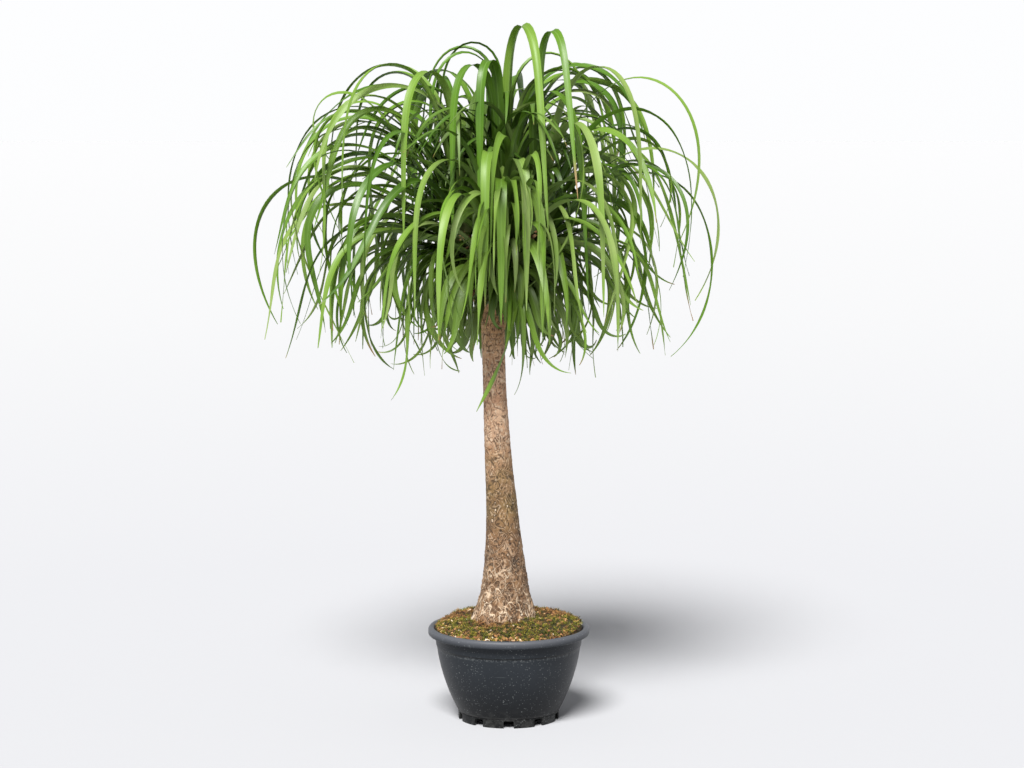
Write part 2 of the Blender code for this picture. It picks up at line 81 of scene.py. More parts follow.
# ---- pot, from the frame's own box ----
POT_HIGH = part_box("pot")[1]
POT_HEIGHT = POT_HIGH.z
RIM_RADIUS = POT_HIGH.y
RIM_WIDTH = 0.014
RIM_DEPTH = 0.017
BAND_DEPTH = 0.024
STEP = 0.0013
WALL = 0.0032
WALL_FOOT_RADIUS = 0.111
WALL_SPREAD = 0.0455
WALL_BELLY = 0.62
FOOT_HEIGHT = 0.0195
FOOT_RADIUS = 0.1098
FOOT_WALL = 0.005
PAD_RADIUS = 0.074
POT_FLOOR = 0.004
CHANNEL_HEIGHT = 0.0182
SLOT_COUNT = 10
SLOT_WIDTH = 0.022
SLOT_HEIGHT = 0.0162
POT_SIDES = 160
POT_SMOOTH_ANGLE = 32
EDGE = 0.0012                   # radius of the rounded edges of the foot and the pad

# ---- stem: height, middle X, radius ----
STEM = (
    (0.104, -0.012, 0.0340),
    (0.130, -0.013, 0.0620),
    (0.160, -0.0135, 0.0775),
    (0.190, -0.0135, 0.0795),
    (0.212, -0.0130, 0.0740),
    (0.245, -0.0100, 0.0618),
    (0.280, -0.0080, 0.0525),
    (0.350, -0.0093, 0.0430),
    (0.450, -0.014, 0.0345),
    (0.580, -0.023, 0.0288),
    (0.720, -0.030, 0.0250),
    (0.850, -0.034, 0.0252),
    (0.935, -0.036, 0.0270),
)
BUTTRESS = 0.055
BUTTRESS_TOP = 0.34
STEM_SIDES = 236
# Rings of the stem are far apart in the soil, close above it, and closest on its ridged foot
BURIED_BELOW = 0.184
BURIED_RING_SPACING = 0.012
RINGED_FROM = 0.188
RIDGED_TOP = 0.42
FOOT_RING_SPACING = 0.0017
STEM_RING_SPACING = 0.0027
SCAR_SPACING = 0.0115           # between the rings that old leaves have left
RIDGE_TURN = 10.0               # radians of turn per metre of height of the foot's crossing ridges
HEAD_RADIUS = 0.017
HEAD_SIDES = 40
HEAD_RINGS = 70
HEAD_SWELL = 0.0045             # by which a head is thicker at the fork
HEAD_DOME = ((0.004, 0.90), (0.007, 0.66), (0.009, 0.30))     # rise over its tip, share of its radius
FORK_HEIGHT = 0.885
HEAD_UPRIGHT_FROM = 0.985
HEADS = {                       # the tip of each head
    "centre": (-0.010, 0.020, 1.114),
    "left": (-0.095, 0.005, 1.094),
    "front": (-0.015, -0.080, 1.034),
    "right": (0.056, -0.010, 1.079),
    "back": (-0.030, 0.080, 1.089),
}

# ---- moss ----
MOSS_EDGE = 0.1975
MOSS_BACK_RISE = 0.011
MOSS_TILT = 0.005
MOSS_TILT_TO = 0.7
MOSS_MIDDLE = 0.224
MOSS_UNDULATION = 0.0022
MOSS_RADIUS = 0.1598
MOSS_SIDES = 300
MOSS_STEPS = 40
STEM_TO_POT = 0.42              # radius of the stem as a share of the moss's
SPRIGS = 3000
STALKS = (0.003, 0.009)         # shortest and longest
LEAFLETS = 7                    # of each sprig
LEAFLET_LENGTHS = (0.0036, 0.0074)
LEAFLET_TURN = 2.4              # from one to the next, in radians
CHIPS = 520
CHIP_SIZES = (0.0011, 0.0030)

# ---- leaves ----
FRAME_LEAF_STEPS = 20
LEAF_STEPS = 48
LEAF_CHANNEL = 0.12
LEAF_TIP_WIDTH = 0.0012
FRAME_LEAF_THICKNESS = 0.0016
BLADE_THICKNESS = 0.0006
MIDRIB_THICKNESS = 0.0013
CLASP_WIDTH = 0.011             # by which a leaf is broader where it clasps its head
CLASP_LENGTH = 0.022
CLASP_CHANNEL = 0.30            # by which its channel is deeper there
RUFFLES = 46                    # radians of the margins' waves to a metre
FOLDS = (0.0, 0.0, 0.05, 0.12, 0.30)     # how deeply some leaves are folded along their middle
LARGEST_RUFFLE = 0.0012
CURL_FROM = 0.65                # share of the length beyond which a leaf curls
LARGEST_MISFIT = 0.004          # of a leaf to its node, above which the script stops
BASE_SPREAD = 0.09
CROWN_MIDDLE = (-0.045, 0.010, 1.100)
CROWN_RADIUS = 0.495
CROWN_RISE = 0.362
CROWN_DROP = 0.345
DOME_SQUARENESS = 2.0           # 2 draws an ellipse, more a squarer outline
FRINGE_SQUARENESS = 3.2
GOLDEN_TURN = (math.sqrt(5) - 1) / 2


class Leaf(NamedTuple):
    """One strap leaf: angles in degrees, lengths in metres, crest and softness in shares of the length."""
    head: str
    azimuth: float          # heading at the base, anticlockwise from +X seen from above
    launch: float           # angle above the horizon at the base
    length: float
    width: float
    crest: float = 0.42     # where the leaf turns over
    softness: float = 0.16  # how gradually it turns over
    hang: float = -90.0     # angle at the tip
    curl: float = 0.0       # further bend of the last third
    drift: float = 0.0      # change of heading from base to tip
    twist: float = 0.0      # roll about its own length from base to tip
    wave: float = 0.0       # unevenness of the curve
    phase: float = 0.0


KEY_LEAVES = (
    Leaf("centre", 290, 88, 0.91, 0.019, crest=0.455, softness=0.10, hang=-80, twist=40),
    Leaf("right", 290, 88, 0.83, 0.018, crest=0.52, softness=0.09, hang=-76, twist=40),
    Leaf("centre", 238, 85, 0.78, 0.020, crest=0.44, softness=0.11, twist=10),
    Leaf("centre", 262, 87, 0.80, 0.020, crest=0.44, softness=0.07, curl=-10, drift=-40, twist=-10),
    Leaf("left", 238, 84, 0.76, 0.019, crest=0.47, softness=0.13, twist=-10),
    Leaf("left", 218, 80, 0.80, 0.016, crest=0.50, softness=0.16, twist=10),
    Leaf("right", 314, 80, 0.82, 0.018, crest=0.50, softness=0.16),
    Leaf("right", 335, 76, 0.84, 0.010, crest=0.52, softness=0.22, hang=-98, curl=-20, twist=50),
    Leaf("right", 326, 72, 0.78, 0.014, crest=0.50, softness=0.22, hang=-94, curl=-10, twist=-40),
    Leaf("right", 355, 56, 0.72, 0.012, crest=0.50, softness=0.24, hang=-98, curl=-25, twist=60),
    Leaf("right", 346, 50, 0.76, 0.013, crest=0.42, softness=0.22, hang=-96, curl=-45, twist=-60),
    Leaf("left", 180, 33, 0.73, 0.014, crest=0.56, softness=0.20, hang=-100, curl=-20, twist=65),
    Leaf("left", 184, 26, 0.63, 0.014, crest=0.54, softness=0.20, hang=-92, curl=15, twist=-70),
    Leaf("left", 198, 22, 0.56, 0.015, crest=0.48, softness=0.22, hang=-84, curl=15, twist=60),
    Leaf("left", 232, 5, 0.42, 0.015, crest=0.30, softness=0.18, curl=45, drift=-20),
    Leaf("front", 290, -6, 0.34, 0.013, crest=0.24, softness=0.18, hang=-62, drift=-130, twist=30),
    Leaf("front", 232, 74, 0.62, 0.020, crest=0.42, softness=0.16),
    Leaf("front", 246, 48, 0.62, 0.019, crest=0.50, softness=0.20),
    Leaf("front", 256, 78, 0.60, 0.021, crest=0.42, softness=0.12, drift=20, twist=10),
    Leaf("front", 270, 70, 0.53, 0.022, crest=0.40, softness=0.12, twist=-10),
    Leaf("front", 282, 76, 0.57, 0.022, crest=0.42, softness=0.12),
    Leaf("front", 294, 66, 0.53, 0.020, crest=0.38, softness=0.14),
    Leaf("front", 308, 44, 0.64, 0.019, crest=0.50, softness=0.20),
    Leaf("front", 328, 64, 0.60, 0.019, crest=0.42, softness=0.18, hang=-88),
    Leaf("centre", 318, 84, 0.80, 0.020, crest=0.38, softness=0.12, hang=-86, drift=10),
    Leaf("right", 298, 76, 0.76, 0.019, crest=0.42, softness=0.18, hang=-88),
)
# Kinds of the leaves on the sides and the back, taken in turn: launch, length, crest, width
TIERS = (
    (82, 0.80, 0.52, 0.018),
    (66, 0.82, 0.48, 0.016),
    (46, 0.78, 0.47, 0.014),
    (20, 0.66, 0.44, 0.016),
)
TIER_LEAVES = 24
TIER_FROM, TIER_SWEEP = -32, 244
SKIRT_HEADS = ("right", "back", "left", "left", "front", "right")
# Turns and tips in degrees that are tried on a leaf until it fits its node in the frame
TURNS = [side * turn for turn in range(0, 61, 4) for side in (1, -1)][1:]
TIPS = (0, -4, -8, -12, -16, -20)

# The infill of each head: number of leaves, the way and angle by which the whole head leans outward, and
# how readily its leaves reach the crown's outline
INFILL = {
    "centre": (118, 20, 6, 1.5),
    "left": (92, 180, 30, 1.5),
    "front": (104, 270, 30, 1.5),
    "right": (64, 350, 32, 0.6),
    "back": (84, 95, 30, 1.2),
}
# Further long leaves that sweep out to the sides: number, and azimuths between which they grow
SWEEPS = {"left": (13, 148, 214), "right": (3, -30, 25)}
# Thin arcs that rise highest over the crown's middle
TOP_ARCS = (
    Leaf("centre", 184, 94, 0.82, 0.011, crest=0.45, softness=0.09, hang=-88, twist=60),
    Leaf("centre", 200, 93, 0.76, 0.010, crest=0.47, softness=0.12, hang=-92, twist=-70),
    Leaf("centre", 168, 92, 0.80, 0.012, crest=0.46, softness=0.11, hang=-86, twist=-60),
    Leaf("centre", 10, 92, 0.80, 0.011, crest=0.45, softness=0.12, hang=-90, twist=60),
)
# How a leaf changes from the youngest, 0, to the oldest, 1
AGES = (0.0, 0.10, 0.25, 0.45, 0.70, 1.0)
LAUNCHES = (88, 80, 63, 40, 10, -28)
LENGTHS = (0.50, 0.78, 0.92, 0.98, 0.82, 0.52)
CRESTS = (0.66, 0.54, 0.47, 0.41, 0.36, 0.30)
INFILL_WIDTHS = (0.010, 0.013, 0.015, 0.018, 0.020)
HEART_LEAVES = 26           # of each head
HEART_AGE = -1.0            # by which the material knows them, to mix in deep green and painted shade
FRONT_DARKEST = 0.48        # of the tones from 0 to 1, on the front head: kept pale as painted light, where its leaves get the most light
SMALLEST_CROWN = 0.62       # shares of the crown's outline to which the shortest and longest leaves reach
LARGEST_CROWN = 1.01
# How the front head's leaves differ: in length, width, steepest launch and share of the crown's outline
FRONT_SHORTER = 0.78
FRONT_BROADER = 1.15
FRONT_STEEPEST = 60
FRONT_CROWN = 0.90
# Most of the other heads' leaves that would hang over the front are left out: smallest cosine of the angle
# to the front, lowest launch, and share of them
OVER_FRONT = 0.35
OVER_FRONT_LAUNCH = 22
OVER_FRONT_LEFT_OUT = 0.80
FRAME_LEAF_BROADER = 1.12   # by which the frame's own leaves are drawn broader than they are in it
# The leaf that crosses the stem turns its broad side to the front, along the frame's middle line
CROSSING_LEAF = "leaf_front_01"
CROSSING_WIDTH = 0.018
CROSSING_TWIST = 100
# Few leaves hide the stem's upper end from the front: X and width of the gap, heights at which they end
# there, and how much lower a leaf looks for each metre that it hangs before the stem
STEM_TOP_X = -0.030
STEM_VIEW_WIDTH = 0.064
STEM_SEEN_BELOW = (0.83, 0.91)
VIEW_SLOPE = 0.135


# ---- mesh helpers ----
def clamp(number):
    return min(max(number, 0.0), 1.0)


def in_scene(name, data):
    """A new object in the scene with a mesh, a light or a camera as its data."""
    made = bpy.data.objects.new(name, data)
    bpy.context.scene.collection.objects.link(made)
    return made


def shade(mesh, smooth_angle):
    """Smooth shading, with edges sharp where faces meet at more than an angle in degrees."""
    mesh.shade_smooth()
    mesh.set_sharp_from_angle(angle=math.radians(smooth_angle))


def add_piece(name, points, faces, finish, smooth_angle=40.0):
    mesh = bpy.data.meshes.new(name)
    mesh.from_pydata(np.asarray(points).tolist(), [], faces)
    shade(mesh, smooth_angle)
    mesh.materials.append(finish)
    return in_scene(name, mesh)


def add_attribute(piece, name, values):
    """A number, or a row of three, for each point of a piece."""
    values = np.asarray(values, dtype=np.float32)
    kind, field = ("FLOAT", "value") if values.ndim == 1 else ("FLOAT_VECTOR", "vector")
    layer = piece.data.attributes.new(name, kind, "POINT")
    layer.data.foreach_set(field, values.ravel())


def in_place(piece, slot, *nodes):
    """Fix a piece to the frame's one body, hiding the frame's nodes that it stands for; slot is not used."""
    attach(piece, "root")
    if nodes:
        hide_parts(*nodes)
    return piece


def circle(radius, height, count):
    """Points round Z at a radius and a height, anticlockwise from +X."""
    angles = [math.tau * i / count for i in range(count)]
    return [(radius * math.cos(angle), radius * math.sin(angle), height) for angle in angles]


def ring_faces(rings, count, closed=False):
    """Quads between rings of equal size, and from the last to the first if closed."""
    i = np.arange(count)
    j = (i + 1) % count
    faces = []
    for level in range(rings if closed else rings - 1):
        low, high = level * count, (level + 1) % rings * count
        faces += np.stack([low + i, low + j, high + j, high + i], 1).tolist()
    return faces


def capped(rings, count):
    """Faces of a closed body through rings of equal size."""
    ends = [list(range(count - 1, -1, -1)), list(range((rings - 1) * count, rings * count))]
    return ring_faces(rings, count) + ends


def counted_from(start, faces):
    """The same faces on points that are numbered from start."""
    return [[start + k for k in face] for face in faces]


# ---- material helpers ----
def feed(socket, value):
    """Link a value to a node's socket, or set the socket to a number, a vector or a colour."""
    if isinstance(value, Value):
        socket.id_data.links.new(value.socket, socket)
    elif isinstance(value, tuple) and socket.type == "RGBA":
        socket.default_value = (*value, 1.0)
    else:
        socket.default_value = value


def add_node(tree, kind, inputs=None, **settings):
    """A new node with its settings, and with inputs fed to its sockets by their names or numbers."""
    node = tree.nodes.new(kind)
    for name, value in settings.items():
        setattr(node, name, value)
    for key, value in (inputs or {}).items():
        feed(node.inputs[key], value)
    return node


class Value:
    """A number, vector or colour that a material's nodes work out. Arithmetic with it adds maths nodes."""

    def __init__(self, socket):
        self.socket = socket

    def node(self, kind, inputs, **settings):
        """A new node of the same material."""
        return add_node(self.socket.id_data, kind, inputs, **settings)

    def made(self, kind, inputs, **settings):
        """What a new node of the same material puts out first."""
        return Value(self.node(kind, inputs, **settings).outputs[0])

    def maths(self, operation, *others, swapped=False, clamp=False):
        """What a maths node makes of this value and others, with this one last if they are swapped."""
        inputs = (*others, self) if swapped else (self, *others)
        return self.made("ShaderNodeMath", dict(enumerate(inputs)), operation=operation, use_clamp=clamp)

    __add__ = __radd__ = partialmethod(maths, "ADD")
    __sub__ = partialmethod(maths, "SUBTRACT")
    __rsub__ = partialmethod(maths, "SUBTRACT", swapped=True)
    __mul__ = __rmul__ = partialmethod(maths, "MULTIPLY")
    __truediv__ = partialmethod(maths, "DIVIDE")
    __pow__ = partialmethod(maths, "POWER")
    __gt__ = partialmethod(maths, "GREATER_THAN")
    __lt__ = partialmethod(maths, "LESS_THAN")
    __abs__ = partialmethod(maths, "ABSOLUTE")
    largest = partialmethod(maths, "MAXIMUM")

    def parts(self):
        """A vector's or a colour's three numbers."""
        return [Value(socket) for socket in self.node("ShaderNodeSeparateXYZ", {0: self}).outputs]

    def joined(self, *others):
        """The vector that starts with this number."""
        return self.made("ShaderNodeCombineXYZ", dict(enumerate((self, *others))))

    def scaled(self, *factors):
        """A vector with each part multiplied by its own number."""
        return self.made("ShaderNodeVectorMath", {0: self, 1: factors}, operation="MULTIPLY")

    def turned(self, angle):
        """A vector turned about Z."""
        return self.made("ShaderNodeVectorRotate", dict(Vector=self, Angle=angle), rotation_type="Z_AXIS")

    def noise(self, scale, detail=3.0, roughness=0.55, distortion=0.0):
        """Cloudy noise from 0 to 1 at a place."""
        inputs = dict(Vector=self, Scale=scale, Detail=detail, Roughness=roughness, Distortion=distortion)
        return self.made("ShaderNodeTexNoise", inputs)

    def cells(self, scale):
        """How far a place is from the middle of its cell, and the cell's own colour."""
        outputs = self.node("ShaderNodeTexVoronoi", dict(Vector=self, Scale=scale)).outputs
        return Value(outputs["Distance"]), Value(outputs["Color"])

    def cell_edges(self, scale):
        """How far a place is from the edge of its cell."""
        inputs = dict(Vector=self, Scale=scale)
        return self.made("ShaderNodeTexVoronoi", inputs, feature="DISTANCE_TO_EDGE")

    def ramp(self, *stops):
        """The colour or grey for this number, between stops of a number from 0 to 1 and a colour or grey."""
        node = self.node("ShaderNodeValToRGB", {0: self})
        elements = node.color_ramp.elements
        while len(elements) < len(stops):
            elements.new(0.5)
        for element, (place, colour) in zip(elements, stops):
            element.position = place
            element.color = (*(colour if isinstance(colour, tuple) else (colour,) * 3), 1.0)
        return Value(node.outputs[0])

    def fade(self, low, high):
        """0 up to one number, 1 from another on, and a straight rise between them."""
        return self.ramp((low, 0.0), (high, 1.0))

    def mixed(self, other, share, blend="MIX"):
        """This colour, with a share of another mixed in."""
        inputs = dict(Factor=share, A=self, B=other)
        node = self.node("ShaderNodeMix", inputs, data_type="RGBA", blend_type=blend)
        return Value(next(socket for socket in node.outputs if socket.type == "RGBA"))

    def shaded(self, other, share=1.0):
        """This colour, multiplied by another colour or by a grey, wholly or by a share."""
        return self.mixed(other, share, "MULTIPLY")

    def bump(self, strength, distance):
        """The normal of a surface with this height."""
        return self.made("ShaderNodeBump", dict(Height=self, Strength=strength, Distance=distance))


class Material:
    """One material in the making."""

    def __init__(self, name):
        self.made = bpy.data.materials.new(name)
        self.made.use_nodes = True
        self.tree = self.made.node_tree
        self.shader = self.tree.nodes["Principled BSDF"]

    def place(self):
        """Where a point is on the resting object."""
        return Value(add_node(self.tree, "ShaderNodeTexCoord").outputs["Object"])

    def attribute(self, name, kind="Vector"):
        """What add_attribute stored at a point, as a Vector or as a number, Fac."""
        return Value(add_node(self.tree, "ShaderNodeAttribute", attribute_name=name).outputs[kind])

    def finish(self, **values):
        """Feed the Principled shader's sockets by their names, with spaces written as underscores."""
        for name, value in values.items():
            feed(self.shader.inputs[name.replace("_", " ")], value)
        return self.made


# ---- the rule by which leaves grow ----
def direction(pitch, heading):
    return np.stack([np.cos(pitch) * np.cos(heading), np.cos(pitch) * np.sin(heading), np.sin(pitch)], -1)


def leaf_base(leaf):
    """Where a leaf leaves its head: upright leaves at the tip, level and hanging ones lower down."""
    tip = np.array(HEADS[leaf.head])
    lift = math.radians(leaf.launch)
    reach = HEAD_RADIUS + GAP + FRAME_LEAF_THICKNESS / 2 * abs(math.sin(lift))
    out = direction(0.0, math.radians(leaf.azimuth))
    return tip + reach * out - np.array((0, 0, BASE_SPREAD * (1 - leaf.launch / 90)))


def leaf_frames(leaf, steps):
    """Middle line of a leaf, with the directions across it and out of its upper face at each point."""
    middle = (np.arange(steps) + 0.5) / steps
    start = np.tanh(leaf.crest / leaf.softness)
    end = np.tanh((1 - leaf.crest) / leaf.softness)
    fall = (np.tanh((middle - leaf.crest) / leaf.softness) + start) / (end + start)
    curl = leaf.curl * np.clip((middle - CURL_FROM) / (1 - CURL_FROM), 0, 1) ** 1.6
    sway = leaf.wave * np.sin(7 * middle + leaf.phase)
    swing = 1.5 * leaf.wave * np.sin(5 * middle + 2 * leaf.phase)
    pitch = np.radians(leaf.launch + (leaf.hang - leaf.launch) * fall + curl + sway)
    heading = np.radians(leaf.azimuth + leaf.drift * middle ** 1.5 + swing)
    base = leaf_base(leaf)
    line = np.vstack([base, base + np.cumsum(direction(pitch, heading), 0) * leaf.length / steps])
    pitch = np.concatenate([pitch[:1], (pitch[1:] + pitch[:-1]) / 2, pitch[-1:]])
    heading = np.concatenate([heading[:1], (heading[1:] + heading[:-1]) / 2, heading[-1:]])
    level = np.stack([-np.sin(heading), np.cos(heading), np.zeros(steps + 1)], -1)
    upper = np.cross(direction(pitch, heading), level)
    share = np.arange(steps + 1) / steps
    roll = np.radians(leaf.twist * share ** 1.4)[:, None]
    across = level * np.cos(roll) + upper * np.sin(roll)
    upper = upper * np.cos(roll) - level * np.sin(roll)
    return line, across, upper, share


def frame_leaf_corners(leaf):
    """The two margins of a leaf as the frame holds it."""
    line, across, upper, share = leaf_frames(leaf, FRAME_LEAF_STEPS)
    base = 0.42 + 0.58 * np.clip(share / 0.14, 0, 1)
    width = (leaf.width * base * np.clip(1 - share ** 2.3, 0, 1) ** 0.9 + LEAF_TIP_WIDTH)[:, None]
    depth = upper * width * LEAF_CHANNEL * (1 - 0.6 * share[:, None])
    return np.vstack([line + across * width / 2 + depth, line - across * width / 2 + depth])


def as_in_frame(leaf, node):
    """The leaf turned about its head and tipped as its node in the frame is."""
    low, high = (np.array(corner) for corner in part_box(node))

    def misfit(trial):
        corners = frame_leaf_corners(trial)
        return np.abs(corners.min(0) - low).max() + np.abs(corners.max(0) - high).max()

    trials = [leaf._replace(azimuth=leaf.azimuth + turn, launch=leaf.launch + tip)
              for turn, tip in product(TURNS, TIPS)]
    best = min(trials, key=misfit)
    if misfit(best) > LARGEST_MISFIT:
        raise ValueError(f"{node} doesn't follow the rule by {misfit(best):.4f} m")
    return best


def crown_share(leaf):
    """How far a leaf reaches from the crown's middle, as a share of the way to the crown's outline."""
    x, y, z = (leaf_frames(leaf, FRAME_LEAF_STEPS)[0] - np.array(CROWN_MIDDLE)).T
    above = z > 0
    out = np.hypot(x, y) / CROWN_RADIUS
    height = np.abs(z) / np.where(above, CROWN_RISE, CROWN_DROP)
    power = np.where(above, DOME_SQUARENESS, FRINGE_SQUARENESS)
    return float(((out ** power + height ** power) ** (1 / power)).max())


def shortened(leaf, share, fits):
    """The leaf, cut to a share of its length again and again until it fits."""
    while not fits(leaf):
        leaf = leaf._replace(length=leaf.length * share)
    return leaf


def cut_to_crown(leaf, size=1.0):
    """The leaf, short enough to stay within the crown's outline or a share of it."""
    return shortened(leaf, 0.97, lambda trial: crown_share(trial) <= size)


def inside_box(leaf):
    """The leaf, short enough for its middle line to stay inside the frame's own box."""
    def fits(trial):
        line = leaf_frames(trial, FRAME_LEAF_STEPS)[0]
        return (line > BOX_LOW).all() and (line < BOX_HIGH).all()

    return shortened(leaf, 0.98, fits)


def clear_of_stem(leaf, lowest):
    """The leaf, too short to hang down in front of the upper stem."""
    def fits(trial):
        x, y, z = leaf_frames(trial, FRAME_LEAF_STEPS)[0][-1]
        in_front = y < 0 and abs(x - STEM_TOP_X) < STEM_VIEW_WIDTH / 2
        return not in_front or z + VIEW_SLOPE * y > lowest

    return shortened(leaf, 0.96, fits)


def tier_leaves(rng):
    """Leaves on the sides and the back, each from the head that faces its way."""
    leaves = []
    for i in range(TIER_LEAVES):
        launch, length, crest, width = TIERS[i % len(TIERS)]
        azimuth = TIER_FROM + TIER_SWEEP * ((i + 0.5) * GOLDEN_TURN % 1)
        head = "right" if azimuth < 40 else "back" if azimuth < 145 else "left"
        if launch > 80 and i % 8 == 0:
            head = "centre"
        leaves.append(cut_to_crown(Leaf(
            head, azimuth, launch + rng.uniform(-5, 5), length * rng.uniform(0.94, 1.04), width, crest,
            softness=rng.uniform(0.14, 0.24), hang=rng.uniform(-98, -80), curl=rng.uniform(-35, 30),
            drift=rng.uniform(-15, 15), twist=rng.uniform(-30, 30), wave=rng.uniform(0, 3),
            phase=rng.uniform(0, math.tau),
        )))
    return leaves


def skirt_leaves(rng):
    """Short old leaves all round, that hang close to the stem."""
    return [Leaf(
        head, 360 / len(SKIRT_HEADS) * (i + 0.75), rng.uniform(-12, 2), rng.uniform(0.27, 0.34), 0.013, 0.30,
        softness=rng.uniform(0.16, 0.22), hang=-92.0, curl=rng.uniform(-40, 30), drift=rng.uniform(-30, 30),
        twist=rng.uniform(-40, 40),
    ) for i, head in enumerate(SKIRT_HEADS)]


def frame_leaves():
    """The frame's own leaves by head, each as a leaf and the name of its node."""
    rng = random.Random(SEED)
    grown = {head: [] for head in HEADS}
    for leaf in (*KEY_LEAVES, *tier_leaves(rng), *skirt_leaves(rng)):
        node = f"leaf_{leaf.head}_{len(grown[leaf.head]) + 1:02d}"
        fitted = as_in_frame(leaf, node)
        if node == CROSSING_LEAF:
            fitted = fitted._replace(width=CROSSING_WIDTH, twist=CROSSING_TWIST)
        grown[leaf.head].append((fitted, node))
    return grown


def leaned(launch, azimuth, lean_to, lean):
    """A leaf's launch and azimuth once its whole head leans outward."""
    way = direction(math.radians(launch), math.radians(azimuth))
    way = way + max(0.0, way[2]) * math.tan(math.radians(lean)) * direction(0.0, math.radians(lean_to))
    way = way / np.linalg.norm(way)
    return math.degrees(math.asin(way[2])), math.degrees(math.atan2(way[1], way[0]))


def rolled(pick):
    """A leaf's twist for a pick from -1 to 1: never so small that the crown's sides look like wires."""
    return math.copysign(30 + 80 * abs(pick), pick)


def infill_leaves(head, rng):
    """The rest of a head's rosette, from the upright young leaves to the old hanging ones."""
    count, lean_to, lean, fullness = INFILL[head]
    start = rng.uniform(0, 360)
    leaves = []
    for i in range(count):
        age = (i + 0.5) / count
        launch, length, crest = (float(np.interp(age, AGES, row)) for row in (LAUNCHES, LENGTHS, CRESTS))
        azimuth = start + 360 * GOLDEN_TURN * i + rng.uniform(-8, 8)
        launch, azimuth = leaned(launch + rng.uniform(-10, 10), azimuth, lean_to, lean)
        loose = 0.35 + 0.65 * age
        leaf = Leaf(
            head, azimuth, launch, length * rng.uniform(0.80, 1.14), rng.choice(INFILL_WIDTHS),
            crest + rng.uniform(-0.08, 0.08), softness=rng.uniform(0.14, 0.32), hang=rng.uniform(-118, -64),
            curl=rng.uniform(-75, 45 + 130 * age) * loose, drift=rng.gauss(0, 54) * loose,
            twist=rolled(rng.uniform(-1, 1)), wave=rng.uniform(0, 12) * loose,
            phase=rng.uniform(0, math.tau),
        )
        size = LARGEST_CROWN - (1 - SMALLEST_CROWN) * rng.random() ** fullness
        if head == "front":
            leaf = leaf._replace(
                length=leaf.length * FRONT_SHORTER, width=leaf.width * FRONT_BROADER,
                launch=min(leaf.launch, FRONT_STEEPEST),
            )
            size *= FRONT_CROWN
        elif math.cos(math.radians(azimuth - 270)) > OVER_FRONT and launch > OVER_FRONT_LAUNCH:
            if rng.random() < OVER_FRONT_LEFT_OUT:
                continue
        leaves.append(clear_of_stem(cut_to_crown(leaf, size), rng.uniform(*STEM_SEEN_BELOW)))
    return leaves


def sweeping_leaves(head, rng):
    """Long leaves that leave a side head at a low angle and hang down at the crown's edge."""
    count, first, last = SWEEPS.get(head, (0, 0, 0))
    return [cut_to_crown(Leaf(
        head, rng.uniform(first, last), rng.uniform(4, 34), rng.uniform(0.66, 0.88),
        rng.choice(INFILL_WIDTHS), rng.uniform(0.42, 0.54), softness=rng.uniform(0.18, 0.28),
        hang=rng.uniform(-102, -78), curl=rng.uniform(-45, 60), drift=rng.gauss(0, 18),
        twist=rolled(rng.uniform(-1, 1)), wave=rng.uniform(0, 3), phase=rng.uniform(0, math.tau),
    ), rng.uniform(0.86, 1.02)) for _ in range(count)]


def heart_leaves(head, rng):
    """The short, almost upright young leaves that hide a head's tip."""
    return [Leaf(
        head, 360 * GOLDEN_TURN * i + rng.uniform(-15, 15), rng.uniform(62, 92),
        0.16 + 0.36 * rng.random() ** 1.5, rng.uniform(0.012, 0.019), 0.64, 0.20,
        hang=rng.uniform(-85, -30), drift=rng.uniform(-20, 20), twist=rng.uniform(-30, 30),
    ) for i in range(HEART_LEAVES)]


# ---- leaf meshes ----
# Corners of a leaf's section: how far across, from -1 to 1, share of the channel's depth, and share of the
# blade's thickness below the upper face; the midrib is the thickest
LEAF_SECTION = (
    (1.00, 1.00, 0.0),
    (0.52, 0.30, 0.0),
    (0.00, 0.00, 0.0),
    (-0.52, 0.30, 0.0),
    (-1.00, 1.00, 0.0),
    (-0.52, 0.30, 1.0),
    (0.00, 0.00, MIDRIB_THICKNESS / BLADE_THICKNESS),
    (0.52, 0.30, 1.0),
)


def blade(leaf, fold, ruffle):
    """Points of a leaf's sections, with the numbers that its material reads at each."""
    line, across, upper, share = leaf_frames(leaf, LEAF_STEPS)
    reach = (share * leaf.length)[:, None]
    share = share[:, None]
    swell = 0.80 + 0.20 * np.clip(share / 0.10, 0, 1)
    taper = np.clip(1 - share ** 2.8, 0, 1)
    width = leaf.width * swell * taper + LEAF_TIP_WIDTH
    width = width * (1 + 0.05 * np.sin(31 * reach + leaf.phase))
    width = width + CLASP_WIDTH * np.exp(-(reach / CLASP_LENGTH) ** 2)
    channel = LEAF_CHANNEL * (1 - 0.6 * share) + fold * np.exp(-((share - 0.25) / 0.35) ** 2)
    channel = channel + CLASP_CHANNEL * np.exp(-reach / 0.030)
    thickness = BLADE_THICKNESS * (1 - 0.5 * share)
    wobble = ruffle * np.sin(RUFFLES * reach + 3 * leaf.phase) * np.clip(share * 6, 0, 1)
    points, looks = [], []
    for side, rise, below in LEAF_SECTION:
        lift = width * channel * rise + side * abs(side) * wobble - thickness * below
        points.append(line + across * width * side / 2 + upper * lift)
        looks.append(np.concatenate([np.full_like(share, side), reach, share], 1))
    return np.stack(points, 1), np.stack(looks, 1)


